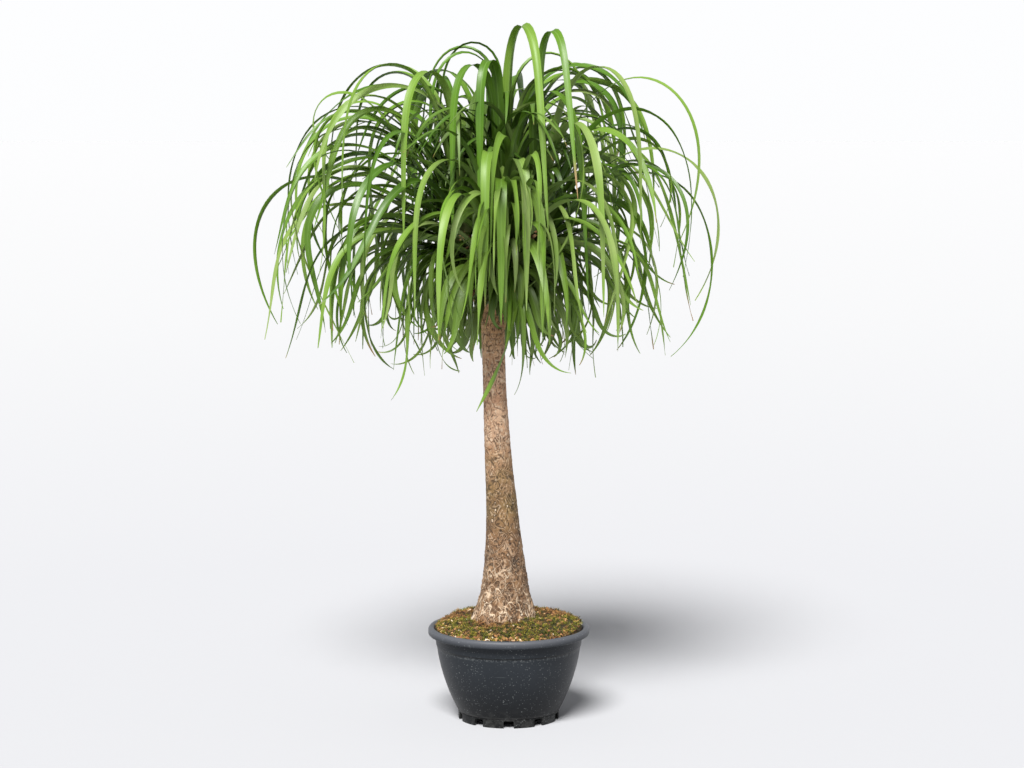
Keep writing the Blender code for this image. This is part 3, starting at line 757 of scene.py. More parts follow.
def foliage(head, grown, finish, rng):
    """All leaves of one head in one piece."""
    points, looks, tones, faces = [], [], [], []
    per_leaf = (LEAF_STEPS + 1) * len(LEAF_SECTION)
    leaf_faces = capped(LEAF_STEPS + 1, len(LEAF_SECTION))
    leaves = [leaf._replace(width=leaf.width * FRAME_LEAF_BROADER) for leaf, _ in grown[head]]
    added = infill_leaves(head, rng) + sweeping_leaves(head, rng)
    added += [leaf for leaf in TOP_ARCS if leaf.head == head] + heart_leaves(head, rng)
    leaves += [inside_box(leaf) for leaf in added]
    hearts = len(leaves) - HEART_LEAVES
    for number, leaf in enumerate(leaves):
        shape, look = blade(leaf, rng.choice(FOLDS), rng.uniform(0.0, LARGEST_RUFFLE))
        points.append(shape.reshape(-1, 3))
        looks.append(look.reshape(-1, 3))
        age = np.clip((90 - leaf.launch) / 110, 0, 1) if number < hearts else HEART_AGE
        dryness = rng.random() ** 8
        tone = rng.random()
        # painted light: the front head's leaves get only the paler tones
        if head == "front":
            tone = FRONT_DARKEST + (1 - FRONT_DARKEST) * tone
        tones.append(np.tile((tone, age, dryness), (per_leaf, 1)))
        faces += counted_from(number * per_leaf, leaf_faces)
    piece = add_piece(f"foliage_{head}", np.vstack(points), faces, finish, smooth_angle=50)
    add_attribute(piece, "blade", np.vstack(looks))
    add_attribute(piece, "tone", np.vstack(tones))
    return in_place(piece, "leaf", *[node for _, node in grown[head]])


def leaf_finish():
    """Waxy green, finely veined along its length, with a paler midrib, yellower old leaves and dry tips."""
    material = Material("leaf")
    side, reach, share = material.attribute("blade").parts()
    tone, age, dryness = material.attribute("tone").parts()
    along = side.joined(reach * 1.4, tone * 37.0)
    veins = along.scaled(9.0, 1.0, 1.0).noise(1.0, detail=4.0, roughness=0.7)
    depth = tone * 0.62 + material.place().noise(9.0, detail=2.0) * 0.38
    green = depth.ramp(
        (0.15, (0.048, 0.124, 0.008)), (0.42, (0.102, 0.220, 0.013)),
        (0.66, (0.168, 0.290, 0.038)), (0.90, (0.268, 0.352, 0.116)),
    )
    old = age.largest(0.0) ** 2.0
    # the heart leaves get a deep green: partly their own young colour, partly painted shade of the crown's
    # core
    heart_green_and_shade = age.maths("MULTIPLY", -0.5, clamp=True)
    green = green.mixed((0.20, 0.28, 0.03), old * 0.30).mixed((0.020, 0.060, 0.003), heart_green_and_shade)
    green = green.shaded(veins.ramp((0.25, 0.70), (0.50, 1.0), (0.75, 1.28)))
    # painted shade: leaves darker towards their bases, deep in the crown
    green = green.shaded((reach / 0.32).ramp((0.0, 0.42), (0.60, 0.80), (1.0, 1.06)))
    midrib = (1.0 - abs(side)).fade(0.86, 0.99)
    green = green.mixed((0.24, 0.40, 0.11), midrib * 0.35)
    clasp = (reach / 0.06).ramp((0.10, 1.0), (0.80, 0.0))
    green = green.mixed((0.21, 0.22, 0.09), clasp * 0.55)

    speckle = along.noise(26.0, detail=2.0)
    dried_from = 1.0 - dryness * 0.12
    dried = (share + (speckle - 0.5) * 0.10 - dried_from).maths("DIVIDE", 0.05, clamp=True)
    colour = green.mixed(speckle.ramp((0.35, (0.20, 0.095, 0.030)), (0.65, (0.44, 0.30, 0.13))), dried)
    ribs = (side * 40.0).maths("SINE")
    gloss = (veins * 0.5 + tone * 0.5).ramp((0.2, 0.36), (0.8, 0.50))
    grooves = (ribs * 0.4 + veins).bump(0.12, 0.0006)
    made = material.finish(Base_Color=colour, Roughness=gloss, Normal=grooves)

    lit_through = colour.mixed((0.24, 0.38, 0.04), 0.5)
    inner = lit_through.made("ShaderNodeBsdfTranslucent", dict(Color=lit_through))
    surface = inner.made("ShaderNodeMixShader", {0: 0.22, 1: Value(material.shader.outputs[0]), 2: inner})
    feed(material.tree.nodes["Material Output"].inputs["Surface"], surface)
    return made


# ---- stem and heads ----
def smooth_curve(stations, at):
    """Catmull-Rom reading of rows of numbers whose first column rises, at a value of that column."""
    rows = np.array(stations)
    i = int(np.clip(np.searchsorted(rows[:, 0], at) - 1, 0, len(rows) - 2))
    before, start, end, after = (rows[min(max(k, 0), len(rows) - 1)] for k in (i - 1, i, i + 1, i + 2))
    span = end[0] - start[0]
    share = (at - start[0]) / span
    slope_in = (end - before) / max(end[0] - before[0], 1e-9) * span
    slope_out = (after - start) / max(after[0] - start[0], 1e-9) * span
    square, cube = share ** 2, share ** 3
    return (
        (2 * cube - 3 * square + 1) * start + (cube - 2 * square + share) * slope_in
        + (3 * square - 2 * cube) * end + (cube - square) * slope_out
    )


def stem_ring(height):
    """Points of the stem's smooth surface all round at a height, with the lobes of its foot."""
    angle = np.arange(STEM_SIDES) * math.tau / STEM_SIDES
    _, middle, radius = smooth_curve(STEM, height)
    swell = BUTTRESS * np.clip((BUTTRESS_TOP - height) / 0.12, 0, 1) * np.clip((height - 0.12) / 0.06, 0, 1)
    reach = radius * (1 + swell * (0.6 * np.cos(3 * angle + 0.6) + 0.4 * np.cos(5 * angle + 2.0)))
    return np.stack([middle + reach * np.cos(angle), reach * np.sin(angle), np.full(STEM_SIDES, height)], 1)


def ridge_line(x, y, z, turn, scale, width):
    """A ridge that winds up the stem, from 0 beside it to 1 on its crest."""
    angle = turn * z + 0.10 * noise.noise(Vector((x, y, z)) * 40)
    sine, cosine = math.sin(angle), math.cos(angle)
    wound = Vector((x * cosine - y * sine, x * sine + y * cosine, 0.36 * z))
    return max(0.0, 1 - abs(noise.noise(wound * scale + Vector((turn, 0, 0)))) / width)


def corky_relief(x, y, z):
    """How far the bark stands out at a point, in metres, and how pale it is there, from 0 to 1.

    Pale corky ridges cross one another over the swollen foot and break up into short worms of cork higher
    up; near the heads only the rings of old leaf scars are left.
    """
    place = Vector((x, y, z))
    foot = clamp((0.40 - z) / 0.14)
    top = clamp((z - 0.66) / 0.20)
    lumps = noise.noise(Vector((x, y, z * 0.7)) * 38) + 0.5 * noise.noise(Vector((x, y, z * 0.8)) * 90)
    scale = 62 + 60 * (1 - foot)
    width = 0.085 + 0.030 * foot
    ridge = max(ridge_line(x, y, z, turn, scale, width) for turn in (RIDGE_TURN, -RIDGE_TURN))
    patchy = noise.noise(place * 70 + Vector((3, 3, 3))) + 0.06 + 0.30 * foot
    ridge *= clamp(patchy * 3) * (1 - 0.75 * top)
    ring = math.cos(math.tau * z / SCAR_SPACING + 2.6 * noise.noise(Vector((x, y, z * 0.5)) * 60))
    scar = max(0.0, ring - 0.55) / 0.45 * (0.15 + 0.85 * top)
    pits = max(0.0, noise.noise(place * 150 + Vector((9, 0, 0))) - 0.22)
    height = (
        0.0010 * lumps * (0.5 + 0.5 * foot) + (0.0008 + 0.0013 * foot) * ridge
        - 0.0006 * scar - (0.0022 + 0.0020 * foot) * pits + 0.00022 * noise.noise(place * 420)
    )
    return height, ridge


def stem_heights():
    """Heights of the stem's rings: far apart where it is buried, and closest on the ridged foot."""
    top = STEM[-1][0]
    buried = np.arange(STEM[0][0], BURIED_BELOW, BURIED_RING_SPACING)
    foot = np.arange(RINGED_FROM, RIDGED_TOP, FOOT_RING_SPACING)
    upper = np.linspace(RIDGED_TOP, top, round((top - RIDGED_TOP) / STEM_RING_SPACING))
    return np.concatenate([buried, foot, upper])


def head_line(tip):
    """Middle line of a head: out from the stem's top, then upright to its tip, with its radius."""
    fork = Vector((smooth_curve(STEM, FORK_HEIGHT)[1], 0, FORK_HEIGHT))
    elbow = Vector((tip[0], tip[1], HEAD_UPRIGHT_FROM))
    shoulder = fork.lerp(elbow, 0.62) + Vector((0, 0, -0.008))
    stations = [fork, fork.lerp(shoulder, 0.5), shoulder, elbow, Vector(tip)]
    lift = [0.0]
    for low, high in zip(stations, stations[1:]):
        lift.append(lift[-1] + (high - low).length)
    rows = [(at, *place) for at, place in zip(lift, stations)]
    reach = np.linspace(0, lift[-1], HEAD_RINGS)
    line = np.array([smooth_curve(rows, at)[1:] for at in reach])
    radius = HEAD_RADIUS + HEAD_SWELL * np.clip(1 - reach / lift[3], 0, 1)
    rises, shares = np.array(HEAD_DOME).T
    tail = [line[-1] + np.array((0, 0, rise)) for rise in rises]
    return np.vstack([line, tail]), np.append(radius, HEAD_RADIUS * shares)


def stem(finish):
    """The swollen stem and its heads, with their bark, as closed bodies that meet inside the fork."""
    heights = stem_heights()
    points = np.vstack([stem_ring(height) for height in heights])
    faces = capped(len(heights), STEM_SIDES)
    middles = np.array([smooth_curve(STEM, height)[1] for height in heights]).repeat(STEM_SIDES)
    outward = points - np.stack([middles, np.zeros(len(points)), points[:, 2]], 1)
    for tip in HEADS.values():
        line, radius = head_line(tip)
        along = np.gradient(line, axis=0)
        along /= np.linalg.norm(along, axis=1)[:, None]
        first = np.cross(along, (0.0, 1.0, 0.0))
        first /= np.linalg.norm(first, axis=1)[:, None]
        second = np.cross(along, first)
        turn = np.arange(HEAD_SIDES) * math.tau / HEAD_SIDES
        spokes = first[:, None] * np.cos(turn)[:, None] + second[:, None] * np.sin(turn)[:, None]
        ring = line[:, None] + spokes * radius[:, None, None]
        faces += counted_from(len(points), capped(len(line), HEAD_SIDES))
        points = np.vstack([points, ring.reshape(-1, 3)])
        outward = np.vstack([outward, spokes.reshape(-1, 3)])
    outward /= np.linalg.norm(outward, axis=1)[:, None]
    relief, pale = np.array([corky_relief(*point) for point in points.tolist()]).T
    piece = add_piece("stem_and_heads", points + outward * relief[:, None], faces, finish, smooth_angle=75)
    # the relief is kept for the bark's painted shade in hollows and painted light on raised parts
    add_attribute(piece, "relief", relief * 1000)
    add_attribute(piece, "pale", pale)
    return in_place(piece, "bark", "trunk")


def bark_finish():
    """Pinkish tan cork: pale ridges at the foot, cream squiggles with painted shade above, mid-height film.
    """
    material = Material("bark")
    place = material.place()
    height = place.parts()[2]
    relief = material.attribute("relief", "Fac")
    pale = material.attribute("pale", "Fac")
    blotches = place.noise(24.0, detail=4.0)
    lower = blotches.ramp(
        (0.30, (0.110, 0.052, 0.021)), (0.52, (0.198, 0.106, 0.048)), (0.72, (0.290, 0.168, 0.084)),
    )
    upper = blotches.ramp(
        (0.30, (0.350, 0.182, 0.100)), (0.52, (0.490, 0.290, 0.172)), (0.72, (0.610, 0.400, 0.260)),
    )
    # the neck: partly paler, oranger bark, partly painted light where the crown shades it
    neck_with_painted_light = blotches.ramp((0.30, (0.500, 0.255, 0.108)), (0.70, (0.740, 0.440, 0.220)))
    colour = lower.mixed(upper, height.fade(0.49, 0.59))
    colour = colour.mixed(neck_with_painted_light, height.fade(0.76, 0.86))
    film = height.ramp((0.40, 0.0), (0.46, 1.0), (0.54, 1.0), (0.62, 0.0))
    film = film * place.noise(26.0, detail=3.0).ramp((0.40, 0.35), (0.62, 1.0))
    colour = colour.mixed((0.205, 0.140, 0.040), film * 0.60)

    # short worms of cork, with painted shade along their edges
    tall = place.scaled(1.0, 1.0, 0.70)
    maze = (tall.noise(50.0, detail=1.0, distortion=1.3) * 33.0).maths("SINE") * 0.5 + 0.5
    broken = place.noise(95.0, detail=1.0).ramp((0.40, 0.10), (0.50, 1.0))
    squiggle = maze.fade(0.78, 0.93) * broken
    edges = maze.ramp((0.05, 1.0), (0.24, 0.0)) * broken

    # round warts of cork in some of the cells, each ringed by painted shade
    distance, own_colour = tall.cells(115.0)
    pick, size, _ = own_colour.parts()
    size = (size * 0.20 + 0.16) * (pick > 0.58)
    inside = size - distance
    wart = (inside * 4.0).fade(0.0, 0.25)
    rim = ((inside + 0.14) * (size > 0.01) * 4.0).fade(0.0, 0.30) - wart
    middle_part = height.ramp((0.26, 0.35), (0.34, 1.0), (0.46, 0.9), (0.56, 0.40), (0.78, 0.35))
    wart = wart * middle_part
    # painted shade: darkened along the worms' edges and round the warts
    dark = edges.largest(rim.largest(0.0) * middle_part)

    # pale ridges that wind both ways up the foot, with dark gaps beside them
    ridge = pale.fade(0.20, 0.80) * 0.45
    gaps = 0.0
    for turn in (RIDGE_TURN, -RIDGE_TURN):
        bend = (place.noise(42.0, detail=1.0) - 0.5) * 0.35
        line = place.turned(height * turn + bend).scaled(1.0, 1.0, 0.36).noise(58.0, detail=0.0)
        ridge = ridge.largest(abs(line - 0.5).ramp((0.012, 1.0), (0.034, 0.0)))
        gaps = abs(line - 0.585).ramp((0.010, 1.0), (0.030, 0.0)).largest(gaps)
    foot = height.ramp((0.27, 1.0), (0.40, 0.0))
    ridge = ridge * place.noise(60.0, detail=1.0).ramp((0.40, 0.20), (0.52, 1.0)) * foot
    gaps = gaps * foot

    marked = height.ramp((0.24, 0.22), (0.34, 0.42), (0.44, 0.34), (0.52, 0.34), (0.62, 0.62))
    cork = (squiggle * marked).largest(ridge) * height.ramp((0.78, 1.0), (0.90, 0.20))
    cork = cork.largest(wart)
    colour = colour.shaded(1.0 - dark * 0.62)
    cracks = place.scaled(1.0, 1.0, 0.8).cell_edges(150.0).ramp((0.02, 0.62), (0.11, 1.0))
    colour = colour.shaded(cracks, 0.55)
    # painted shade in the bark's hollows and painted light on its raised parts
    relief_shade_and_light = (relief * 0.32 + 0.5).ramp((0.15, 0.28), (0.50, 0.95), (0.85, 1.20))
    colour = colour.shaded(relief_shade_and_light, 0.90).mixed((0.070, 0.034, 0.016), gaps * 0.65)
    cream = blotches.ramp((0.35, (0.50, 0.37, 0.25)), (0.65, (0.72, 0.59, 0.45)))
    colour = colour.mixed(cream, cork * 0.82)
    fine = place.noise(900.0, detail=3.0)
    colour = colour.shaded(fine.ramp((0.30, 0.72), (0.70, 1.25)), 0.5)
    bumps = fine * 0.35 + cracks * 0.5 + (cork - dark) - gaps
    rough = blotches.ramp((0.3, 0.78), (0.7, 0.92))
    return material.finish(Base_Color=colour, Roughness=rough, Normal=bumps.bump(0.9, 0.0010))


# ---- pot ----
def arc(centre, radius, start, end, steps):
    """Points of an arc of (radius, height) from one angle in degrees to another."""
    angle = np.radians(np.linspace(start, end, steps + 1))
    return [(centre[0] + radius * math.cos(t), centre[1] + radius * math.sin(t)) for t in angle]


def wall_radius(height):
    """Outside of the pot's wall below the step: a shallow convex bowl."""
    rise = (height - FOOT_HEIGHT) / (POT_HEIGHT - RIM_DEPTH - BAND_DEPTH - FOOT_HEIGHT)
    return WALL_FOOT_RADIUS + WALL_SPREAD * ((1 + WALL_BELLY) * rise - WALL_BELLY * rise ** 2)


def pot_outline():
    """Radius and height, outside from the bottom, over the rolled rim and back inside."""
    roll = RIM_WIDTH / 2
    rim_middle = RIM_RADIUS - roll
    rim_inner = RIM_RADIUS - RIM_WIDTH
    foot_inner = FOOT_RADIUS - FOOT_WALL
    band_top = POT_HEIGHT - RIM_DEPTH
    band_foot = band_top - BAND_DEPTH
    under_band = wall_radius(band_foot)
    groove = wall_radius(band_top) + STEP
    outline = [
        (0.0, 0.0), (PAD_RADIUS - EDGE, 0.0), (PAD_RADIUS, EDGE),
        (PAD_RADIUS + 0.0025, CHANNEL_HEIGHT - EDGE), (PAD_RADIUS + 0.004, CHANNEL_HEIGHT),
        (foot_inner - EDGE, CHANNEL_HEIGHT), (foot_inner, CHANNEL_HEIGHT - EDGE), (foot_inner, EDGE),
        (foot_inner + EDGE, 0.0),
    ]
    outline += arc((FOOT_RADIUS - EDGE, EDGE), EDGE, -90, 0, 4)
    outline += arc((FOOT_RADIUS - EDGE, FOOT_HEIGHT - 0.0022), EDGE, 0, 60, 3)
    heights = np.linspace(FOOT_HEIGHT + 0.0012, band_foot - 0.0010, 30)
    outline += [(wall_radius(height), height) for height in heights]
    outline += [
        (under_band + STEP * 0.25, band_foot - 0.0002), (under_band + STEP * 0.8, band_foot + 0.0004),
        (under_band + STEP, band_foot + 0.0014),
    ]
    heights = np.linspace(band_foot + 0.004, band_top - 0.001, 6)
    outline += [(wall_radius(height) + STEP, height) for height in heights]
    outline += [
        (groove + 0.0004, band_top + 0.0025), (groove + 0.0016, band_top + 0.0040),
        (RIM_RADIUS - 0.0062, band_top + 0.0030), (RIM_RADIUS - 0.0040, band_top + 0.0008),
    ]
    outline += arc((RIM_RADIUS - 0.0034, band_top + 0.0034), 0.0034, -90, -5, 6)
    outline += arc((rim_middle, POT_HEIGHT - roll), roll, 5, 172, 22)
    outline += [(rim_inner, band_top + 0.0055), (rim_inner - 0.0004, band_top + 0.002)]
    heights = np.linspace(band_top, FOOT_HEIGHT + WALL, 16)
    outline += [(wall_radius(height) - WALL, height) for height in heights]
    outline += [(PAD_RADIUS - 0.001, FOOT_HEIGHT + WALL), (PAD_RADIUS - 0.005, POT_FLOOR), (0.0, POT_FLOOR)]
    return outline


def lathed(name, outline, sides, finish):
    """A body turned about Z from an outline that starts and ends on the axis."""
    points, faces, rows = [], [], []
    for radius, height in outline:
        around = sides if radius > 0 else 1
        rows.append(range(len(points), len(points) + around))
        points += circle(radius, height, around)
    for low, high in zip(rows, rows[1:]):
        for i in range(sides):
            j = (i + 1) % sides
            corners = (low[i % len(low)], low[j % len(low)], high[j % len(high)], high[i % len(high)])
            faces.append(list(dict.fromkeys(corners)))
    return add_piece(name, points, faces, finish, POT_SMOOTH_ANGLE)


def slot_cutter():
    """Boxes with rounded tops, one through the foot's wall at each drain slot."""
    points, faces = [], []
    corner = 0.003
    outline = [(-SLOT_WIDTH / 2, -0.002), (SLOT_WIDTH / 2, -0.002)]
    outline += arc((SLOT_WIDTH / 2 - corner, SLOT_HEIGHT - corner), corner, 0, 90, 4)
    outline += arc((-SLOT_WIDTH / 2 + corner, SLOT_HEIGHT - corner), corner, 90, 180, 4)
    for i in range(SLOT_COUNT):
        angle = math.radians(-90 + 360 / SLOT_COUNT * i)
        along = np.array((math.cos(angle), math.sin(angle), 0))
        across = np.array((-math.sin(angle), math.cos(angle), 0))
        faces += counted_from(len(points), capped(2, len(outline)))
        for reach in (FOOT_RADIUS - 2 * FOOT_WALL, FOOT_RADIUS + FOOT_WALL):
            points += [along * reach + across * side + np.array((0, 0, height)) for side, height in outline]
    return add_piece("slot_cutter", points, faces, bpy.data.materials.new("cutter"))


def pot(finish):
    """The moulded bowl with its rolled rim, step and foot, with the drain slots cut out."""
    piece = lathed("pot_shell", pot_outline(), POT_SIDES, finish)
    cutter = slot_cutter()
    modifier = piece.modifiers.new("slots", "BOOLEAN")
    modifier.operation = "DIFFERENCE"
    modifier.object = cutter
    bpy.context.view_layer.update()
    cut = bpy.data.meshes.new_from_object(piece.evaluated_get(bpy.context.evaluated_depsgraph_get()))
    piece.modifiers.clear()
    piece.data = cut
    bpy.data.objects.remove(cutter, do_unlink=True)
    shade(cut, POT_SMOOTH_ANGLE)
    return in_place(piece, "pot_plastic", "pot")


def pot_finish():
    """Dark blue-grey moulded plastic: fine grain, a paler rim, small scuffs, dried dirt near the foot."""
    material = Material("pot plastic")
    place = material.place()
    height = place.parts()[2]
    blotches = place.noise(9.0, detail=4.0)
    colour = blotches.ramp((0.30, (0.0105, 0.0135, 0.0175)), (0.70, (0.0150, 0.0185, 0.0235)))
    # painted shade: much darker towards the bottom
    colour = colour.shaded((height / 0.15).ramp((0.10, 0.12), (0.85, 1.0)))
    rim = ((height - (POT_HEIGHT - 0.020)) / 0.020).fade(0.20, 0.75)
    colour = colour.mixed((0.098, 0.103, 0.118), rim * 0.70)

    # pale specks of three sizes, and long faint scratches
    worn = 0.0
    for scale, largest_size, strength in ((100.0, 0.18, 0.46), (180.0, 0.28, 0.40), (300.0, 0.38, 0.34)):
        distance, own_colour = place.scaled(1.0, 1.0, 1.35).cells(scale)
        size = own_colour.parts()[0] ** 4.0 * largest_size
        worn = ((distance < size) * strength).largest(worn)
    worn = worn * place.noise(16.0).ramp((0.38, 0.25), (0.58, 1.0))
    streaks = place.scaled(16.0, 16.0, 380.0).noise(1.0, detail=3.0, distortion=0.8)
    scratch = streaks.fade(0.66, 0.74) * place.noise(30.0).fade(0.50, 0.64)
    worn = worn.largest(scratch * 0.30)

    # painted shadow in the corner under the step, and scuffs just below it
    under_step = POT_HEIGHT - RIM_DEPTH - BAND_DEPTH - height
    corner = (under_step / 0.004).ramp((0.0, 1.0), (0.55, 0.80), (0.80, 0.0)) * (under_step > -0.0008)
    scuffs = abs(under_step - 0.0046).ramp((0.0003, 1.0), (0.0014, 0.0))
    scuffs = scuffs * place.noise(210.0, detail=4.0).ramp((0.46, 0.0), (0.62, 0.20))
    worn = worn.largest(scuffs)
    colour = colour.mixed((0.003, 0.003, 0.003), corner * 0.75).mixed((0.27, 0.29, 0.29), worn)

    # dried dirt on the lowest part and in the seam over the foot
    dirt = (height / 0.05).ramp((0.0, 1.0), (0.42, 0.55), (0.90, 0.0))
    dirt = dirt * place.noise(60.0, detail=5.0, roughness=0.7).fade(0.45, 0.68)
    seam = (abs(height - (FOOT_HEIGHT + 0.002)) / 0.004).ramp((0.1, 1.0), (0.8, 0.0))
    seam = seam * place.noise(45.0).ramp((0.40, 0.15), (0.60, 1.0))
    dirt = (dirt * 0.35).largest(seam * 0.40)
    grain = place.noise(1500.0, detail=2.0) * 0.5 + worn * 0.6
    return material.finish(
        Base_Color=colour.mixed((0.105, 0.105, 0.100), dirt), Normal=grain.bump(0.35, 0.0004),
        Roughness=blotches.ramp((0.3, 0.40), (0.7, 0.52)) + dirt * 0.35, Specular_IOR_Level=0.24,
    )


# ---- moss, chips and soil ----
def inner_radius(height, clearance):
    return wall_radius(height) - WALL - clearance


def moss_height(share, angle):
    """Top of the moss, from 0 at the stem to 1 at the pot's wall."""
    edge = MOSS_EDGE + MOSS_BACK_RISE * (1 + math.sin(angle)) / 2
    mound = MOSS_MIDDLE + (edge - MOSS_MIDDLE) * share ** 1.6
    mound += MOSS_TILT * math.cos(angle - MOSS_TILT_TO) * (1 - 0.5 * share)
    bumps = np.sin(3 * angle + 1) + np.sin(5 * angle + 9 * share) + np.sin(8 * angle - 7 * share + 2)
    return mound + MOSS_UNDULATION * bumps / 2


def moss_spot(share, angle):
    """A point of the moss's smooth top."""
    height = float(moss_height(share, angle))
    _, middle, radius = smooth_curve(STEM, float(moss_height(0.0, angle)))
    start = np.array((middle + radius * math.cos(angle), radius * math.sin(angle)))
    end = MOSS_RADIUS * np.array((math.cos(angle), math.sin(angle)))
    return (*(start + (end - start) * share), height)


def tufts(x, y):
    """Height of the moss's cushions and tufts over its smooth top."""
    place = Vector((x, y, 0))
    cushions = 1 - noise.voronoi(place * 46)[0][0] * 2
    small = 0.0024 * noise.noise(place * 150)
    return 0.0036 * max(cushions, -0.8) + small + 0.0010 * noise.noise(place * 420)


def moss_bed(finish):
    """The mat of moss: a closed ring round the stem, with cushions and tufts on top."""
    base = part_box("moss_top")[0].z
    points = []
    for level in range(MOSS_STEPS + 1):
        share = level / MOSS_STEPS
        fade = min(1.0, (1 - share) * 12 + 0.25)
        rounded = 0.004 * max(0.0, share - 0.93) / 0.07
        for i in range(MOSS_SIDES):
            x, y, z = moss_spot(share, math.tau * i / MOSS_SIDES)
            points.append((x, y, z + tufts(x, y) * fade - rounded))
    band_top = POT_HEIGHT - RIM_DEPTH
    points += circle(MOSS_RADIUS, band_top + 0.005, MOSS_SIDES)
    points += circle(inner_radius(band_top, 2 * GAP), band_top + 0.001, MOSS_SIDES)
    points += circle(inner_radius(base, 2 * GAP), base, MOSS_SIDES)
    for i in range(MOSS_SIDES):
        points.append((*moss_spot(0.0, math.tau * i / MOSS_SIDES)[:2], base))
    faces = ring_faces(MOSS_STEPS + 5, MOSS_SIDES, closed=True)
    piece = add_piece("moss_bed", points, faces, finish, smooth_angle=180)
    return in_place(piece, "moss", "moss_top")


# Brown, dried-up patches of the moss: X, Y and radius
DRY_PATCHES = ((0.092, 0.050, 0.040), (-0.120, 0.045, 0.034), (-0.030, -0.065, 0.036), (0.030, 0.135, 0.030))


def dryness_at(x, y):
    """How dried-up the moss is at a spot, from 0 to 1."""
    patch = max(math.exp(-((x - cx) ** 2 + (y - cy) ** 2) / radius ** 2) for cx, cy, radius in DRY_PATCHES)
    mottle = 0.5 + 1.1 * noise.noise(Vector((x, y, 0.3)) * 70)
    return clamp(patch * 1.1 + 0.70 * mottle - 0.16)


def random_spot(rng, closest=0.02, furthest=0.985):
    """An even pick of the moss's ring, as its share of the way out and its angle."""
    hole = STEM_TO_POT ** 2
    share = (math.sqrt(hole + rng.random() * (1 - hole)) - STEM_TO_POT) / (1 - STEM_TO_POT)
    return closest + (furthest - closest) * share, rng.uniform(0, math.tau)


def moss_sprigs(finish, rng):
    """Feathery sprigs all over the moss: a few slender leaflets round each short stalk."""
    points, tints = [], []
    for _ in range(SPRIGS):
        x, y, z = moss_spot(*random_spot(rng))
        dry = dryness_at(x, y)
        lean = Vector((rng.uniform(-0.8, 0.8), rng.uniform(-0.8, 0.8), 1)).normalized()
        stalk = rng.uniform(*STALKS) * (1 - 0.35 * dry)
        side = lean.orthogonal().normalized()
        other = lean.cross(side)
        start = rng.uniform(0, math.tau)
        hue = rng.random()
        foot = Vector((x, y, z + tufts(x, y) - 0.0015))
        for k in range(LEAFLETS):
            turn = start + k * LEAFLET_TURN
            out = side * math.cos(turn) + other * math.sin(turn)
            root = foot + lean * stalk * (k / LEAFLETS)
            reach = rng.uniform(*LEAFLET_LENGTHS) * (1.1 - 0.4 * k / LEAFLETS)
            tip = root + out * reach * 0.8 + lean * reach * rng.uniform(0.4, 0.9)
            cross = out.cross(lean).normalized() * rng.uniform(0.0006, 0.0011)
            points += [root + cross, root - cross, root + lean * 0.0007, tip]
            # the third number, how far up its stalk a point sits, gives the leaflets their painted shade
            tints += [(hue, dry, k / LEAFLETS)] * 3 + [(hue, dry, 1.0)]
    tetra = np.array([(0, 2, 1), (0, 3, 2), (1, 2, 3), (0, 1, 3)])
    faces = (tetra[None] + 4 * np.arange(SPRIGS * LEAFLETS)[:, None, None]).reshape(-1, 3).tolist()
    piece = add_piece("moss_sprigs", points, faces, finish, smooth_angle=180)
    add_attribute(piece, "tint", tints)
    return in_place(piece, "moss")


def litter(finish, rng):
    """Bark chips, husks and pale grains that lie on the moss, most of them along the front edge."""
    cube = [(x, y, z) for z in (-1, 1) for x, y in ((-1, -1), (1, -1), (1, 1), (-1, 1))]
    cube_faces = [(3, 2, 1, 0), (4, 5, 6, 7), (0, 1, 5, 4), (1, 2, 6, 5), (2, 3, 7, 6), (3, 0, 4, 7)]
    points, faces, tints = [], [], []
    for number in range(CHIPS):
        share, angle = random_spot(rng, 0.05, 0.97)
        if number % 5 < 2:
            share, angle = rng.uniform(0.84, 0.99), math.radians(rng.gauss(-90, 50))
        x, y, z = moss_spot(share, angle)
        lift = tufts(x, y) + rng.uniform(0.0, 0.002)
        middle = Vector((x, y, z + lift))
        size = rng.uniform(*CHIP_SIZES)
        shape = Vector([size * rng.uniform(*limits) for limits in ((0.9, 2.0), (0.6, 1.0), (0.3, 0.7))])
        upward = Vector((rng.uniform(-0.6, 0.6), rng.uniform(-0.6, 0.6), 1))
        rng.random()            # not used: it keeps the later draws as they were chosen
        tipped = Vector((0, 0, 1)).rotation_difference(upward)
        heading = rng.uniform(0, math.tau)
        sine, cosine = math.sin(heading), math.cos(heading)
        faces += counted_from(len(points), cube_faces)
        for corner in cube:
            length, width, height = (c * s * rng.uniform(0.7, 1.2) for c, s in zip(corner, shape))
            flat = Vector((length * cosine - width * sine, length * sine + width * cosine, height))
            points.append(middle + tipped @ flat)
        tints += [(rng.random(), rng.random(), rng.random())] * len(cube)
    piece = add_piece("moss_litter", points, faces, finish, smooth_angle=20)
    add_attribute(piece, "tint", tints)
    return in_place(piece, "moss")


def moss_finish():
    """The mat under the sprigs: dark olive with brown dry patches."""
    material = Material("moss mat")
    place = material.place()
    colour = place.noise(28.0, detail=4.0).ramp(
        (0.32, (0.018, 0.019, 0.003)), (0.52, (0.034, 0.025, 0.006)), (0.68, (0.054, 0.023, 0.008)),
    )
    fine = place.noise(480.0, detail=3.0)
    colour = colour.shaded(fine.ramp((0.3, 0.45), (0.7, 1.45)))
    return material.finish(Base_Color=colour, Roughness=0.95, Normal=fine.bump(0.9, 0.0015))


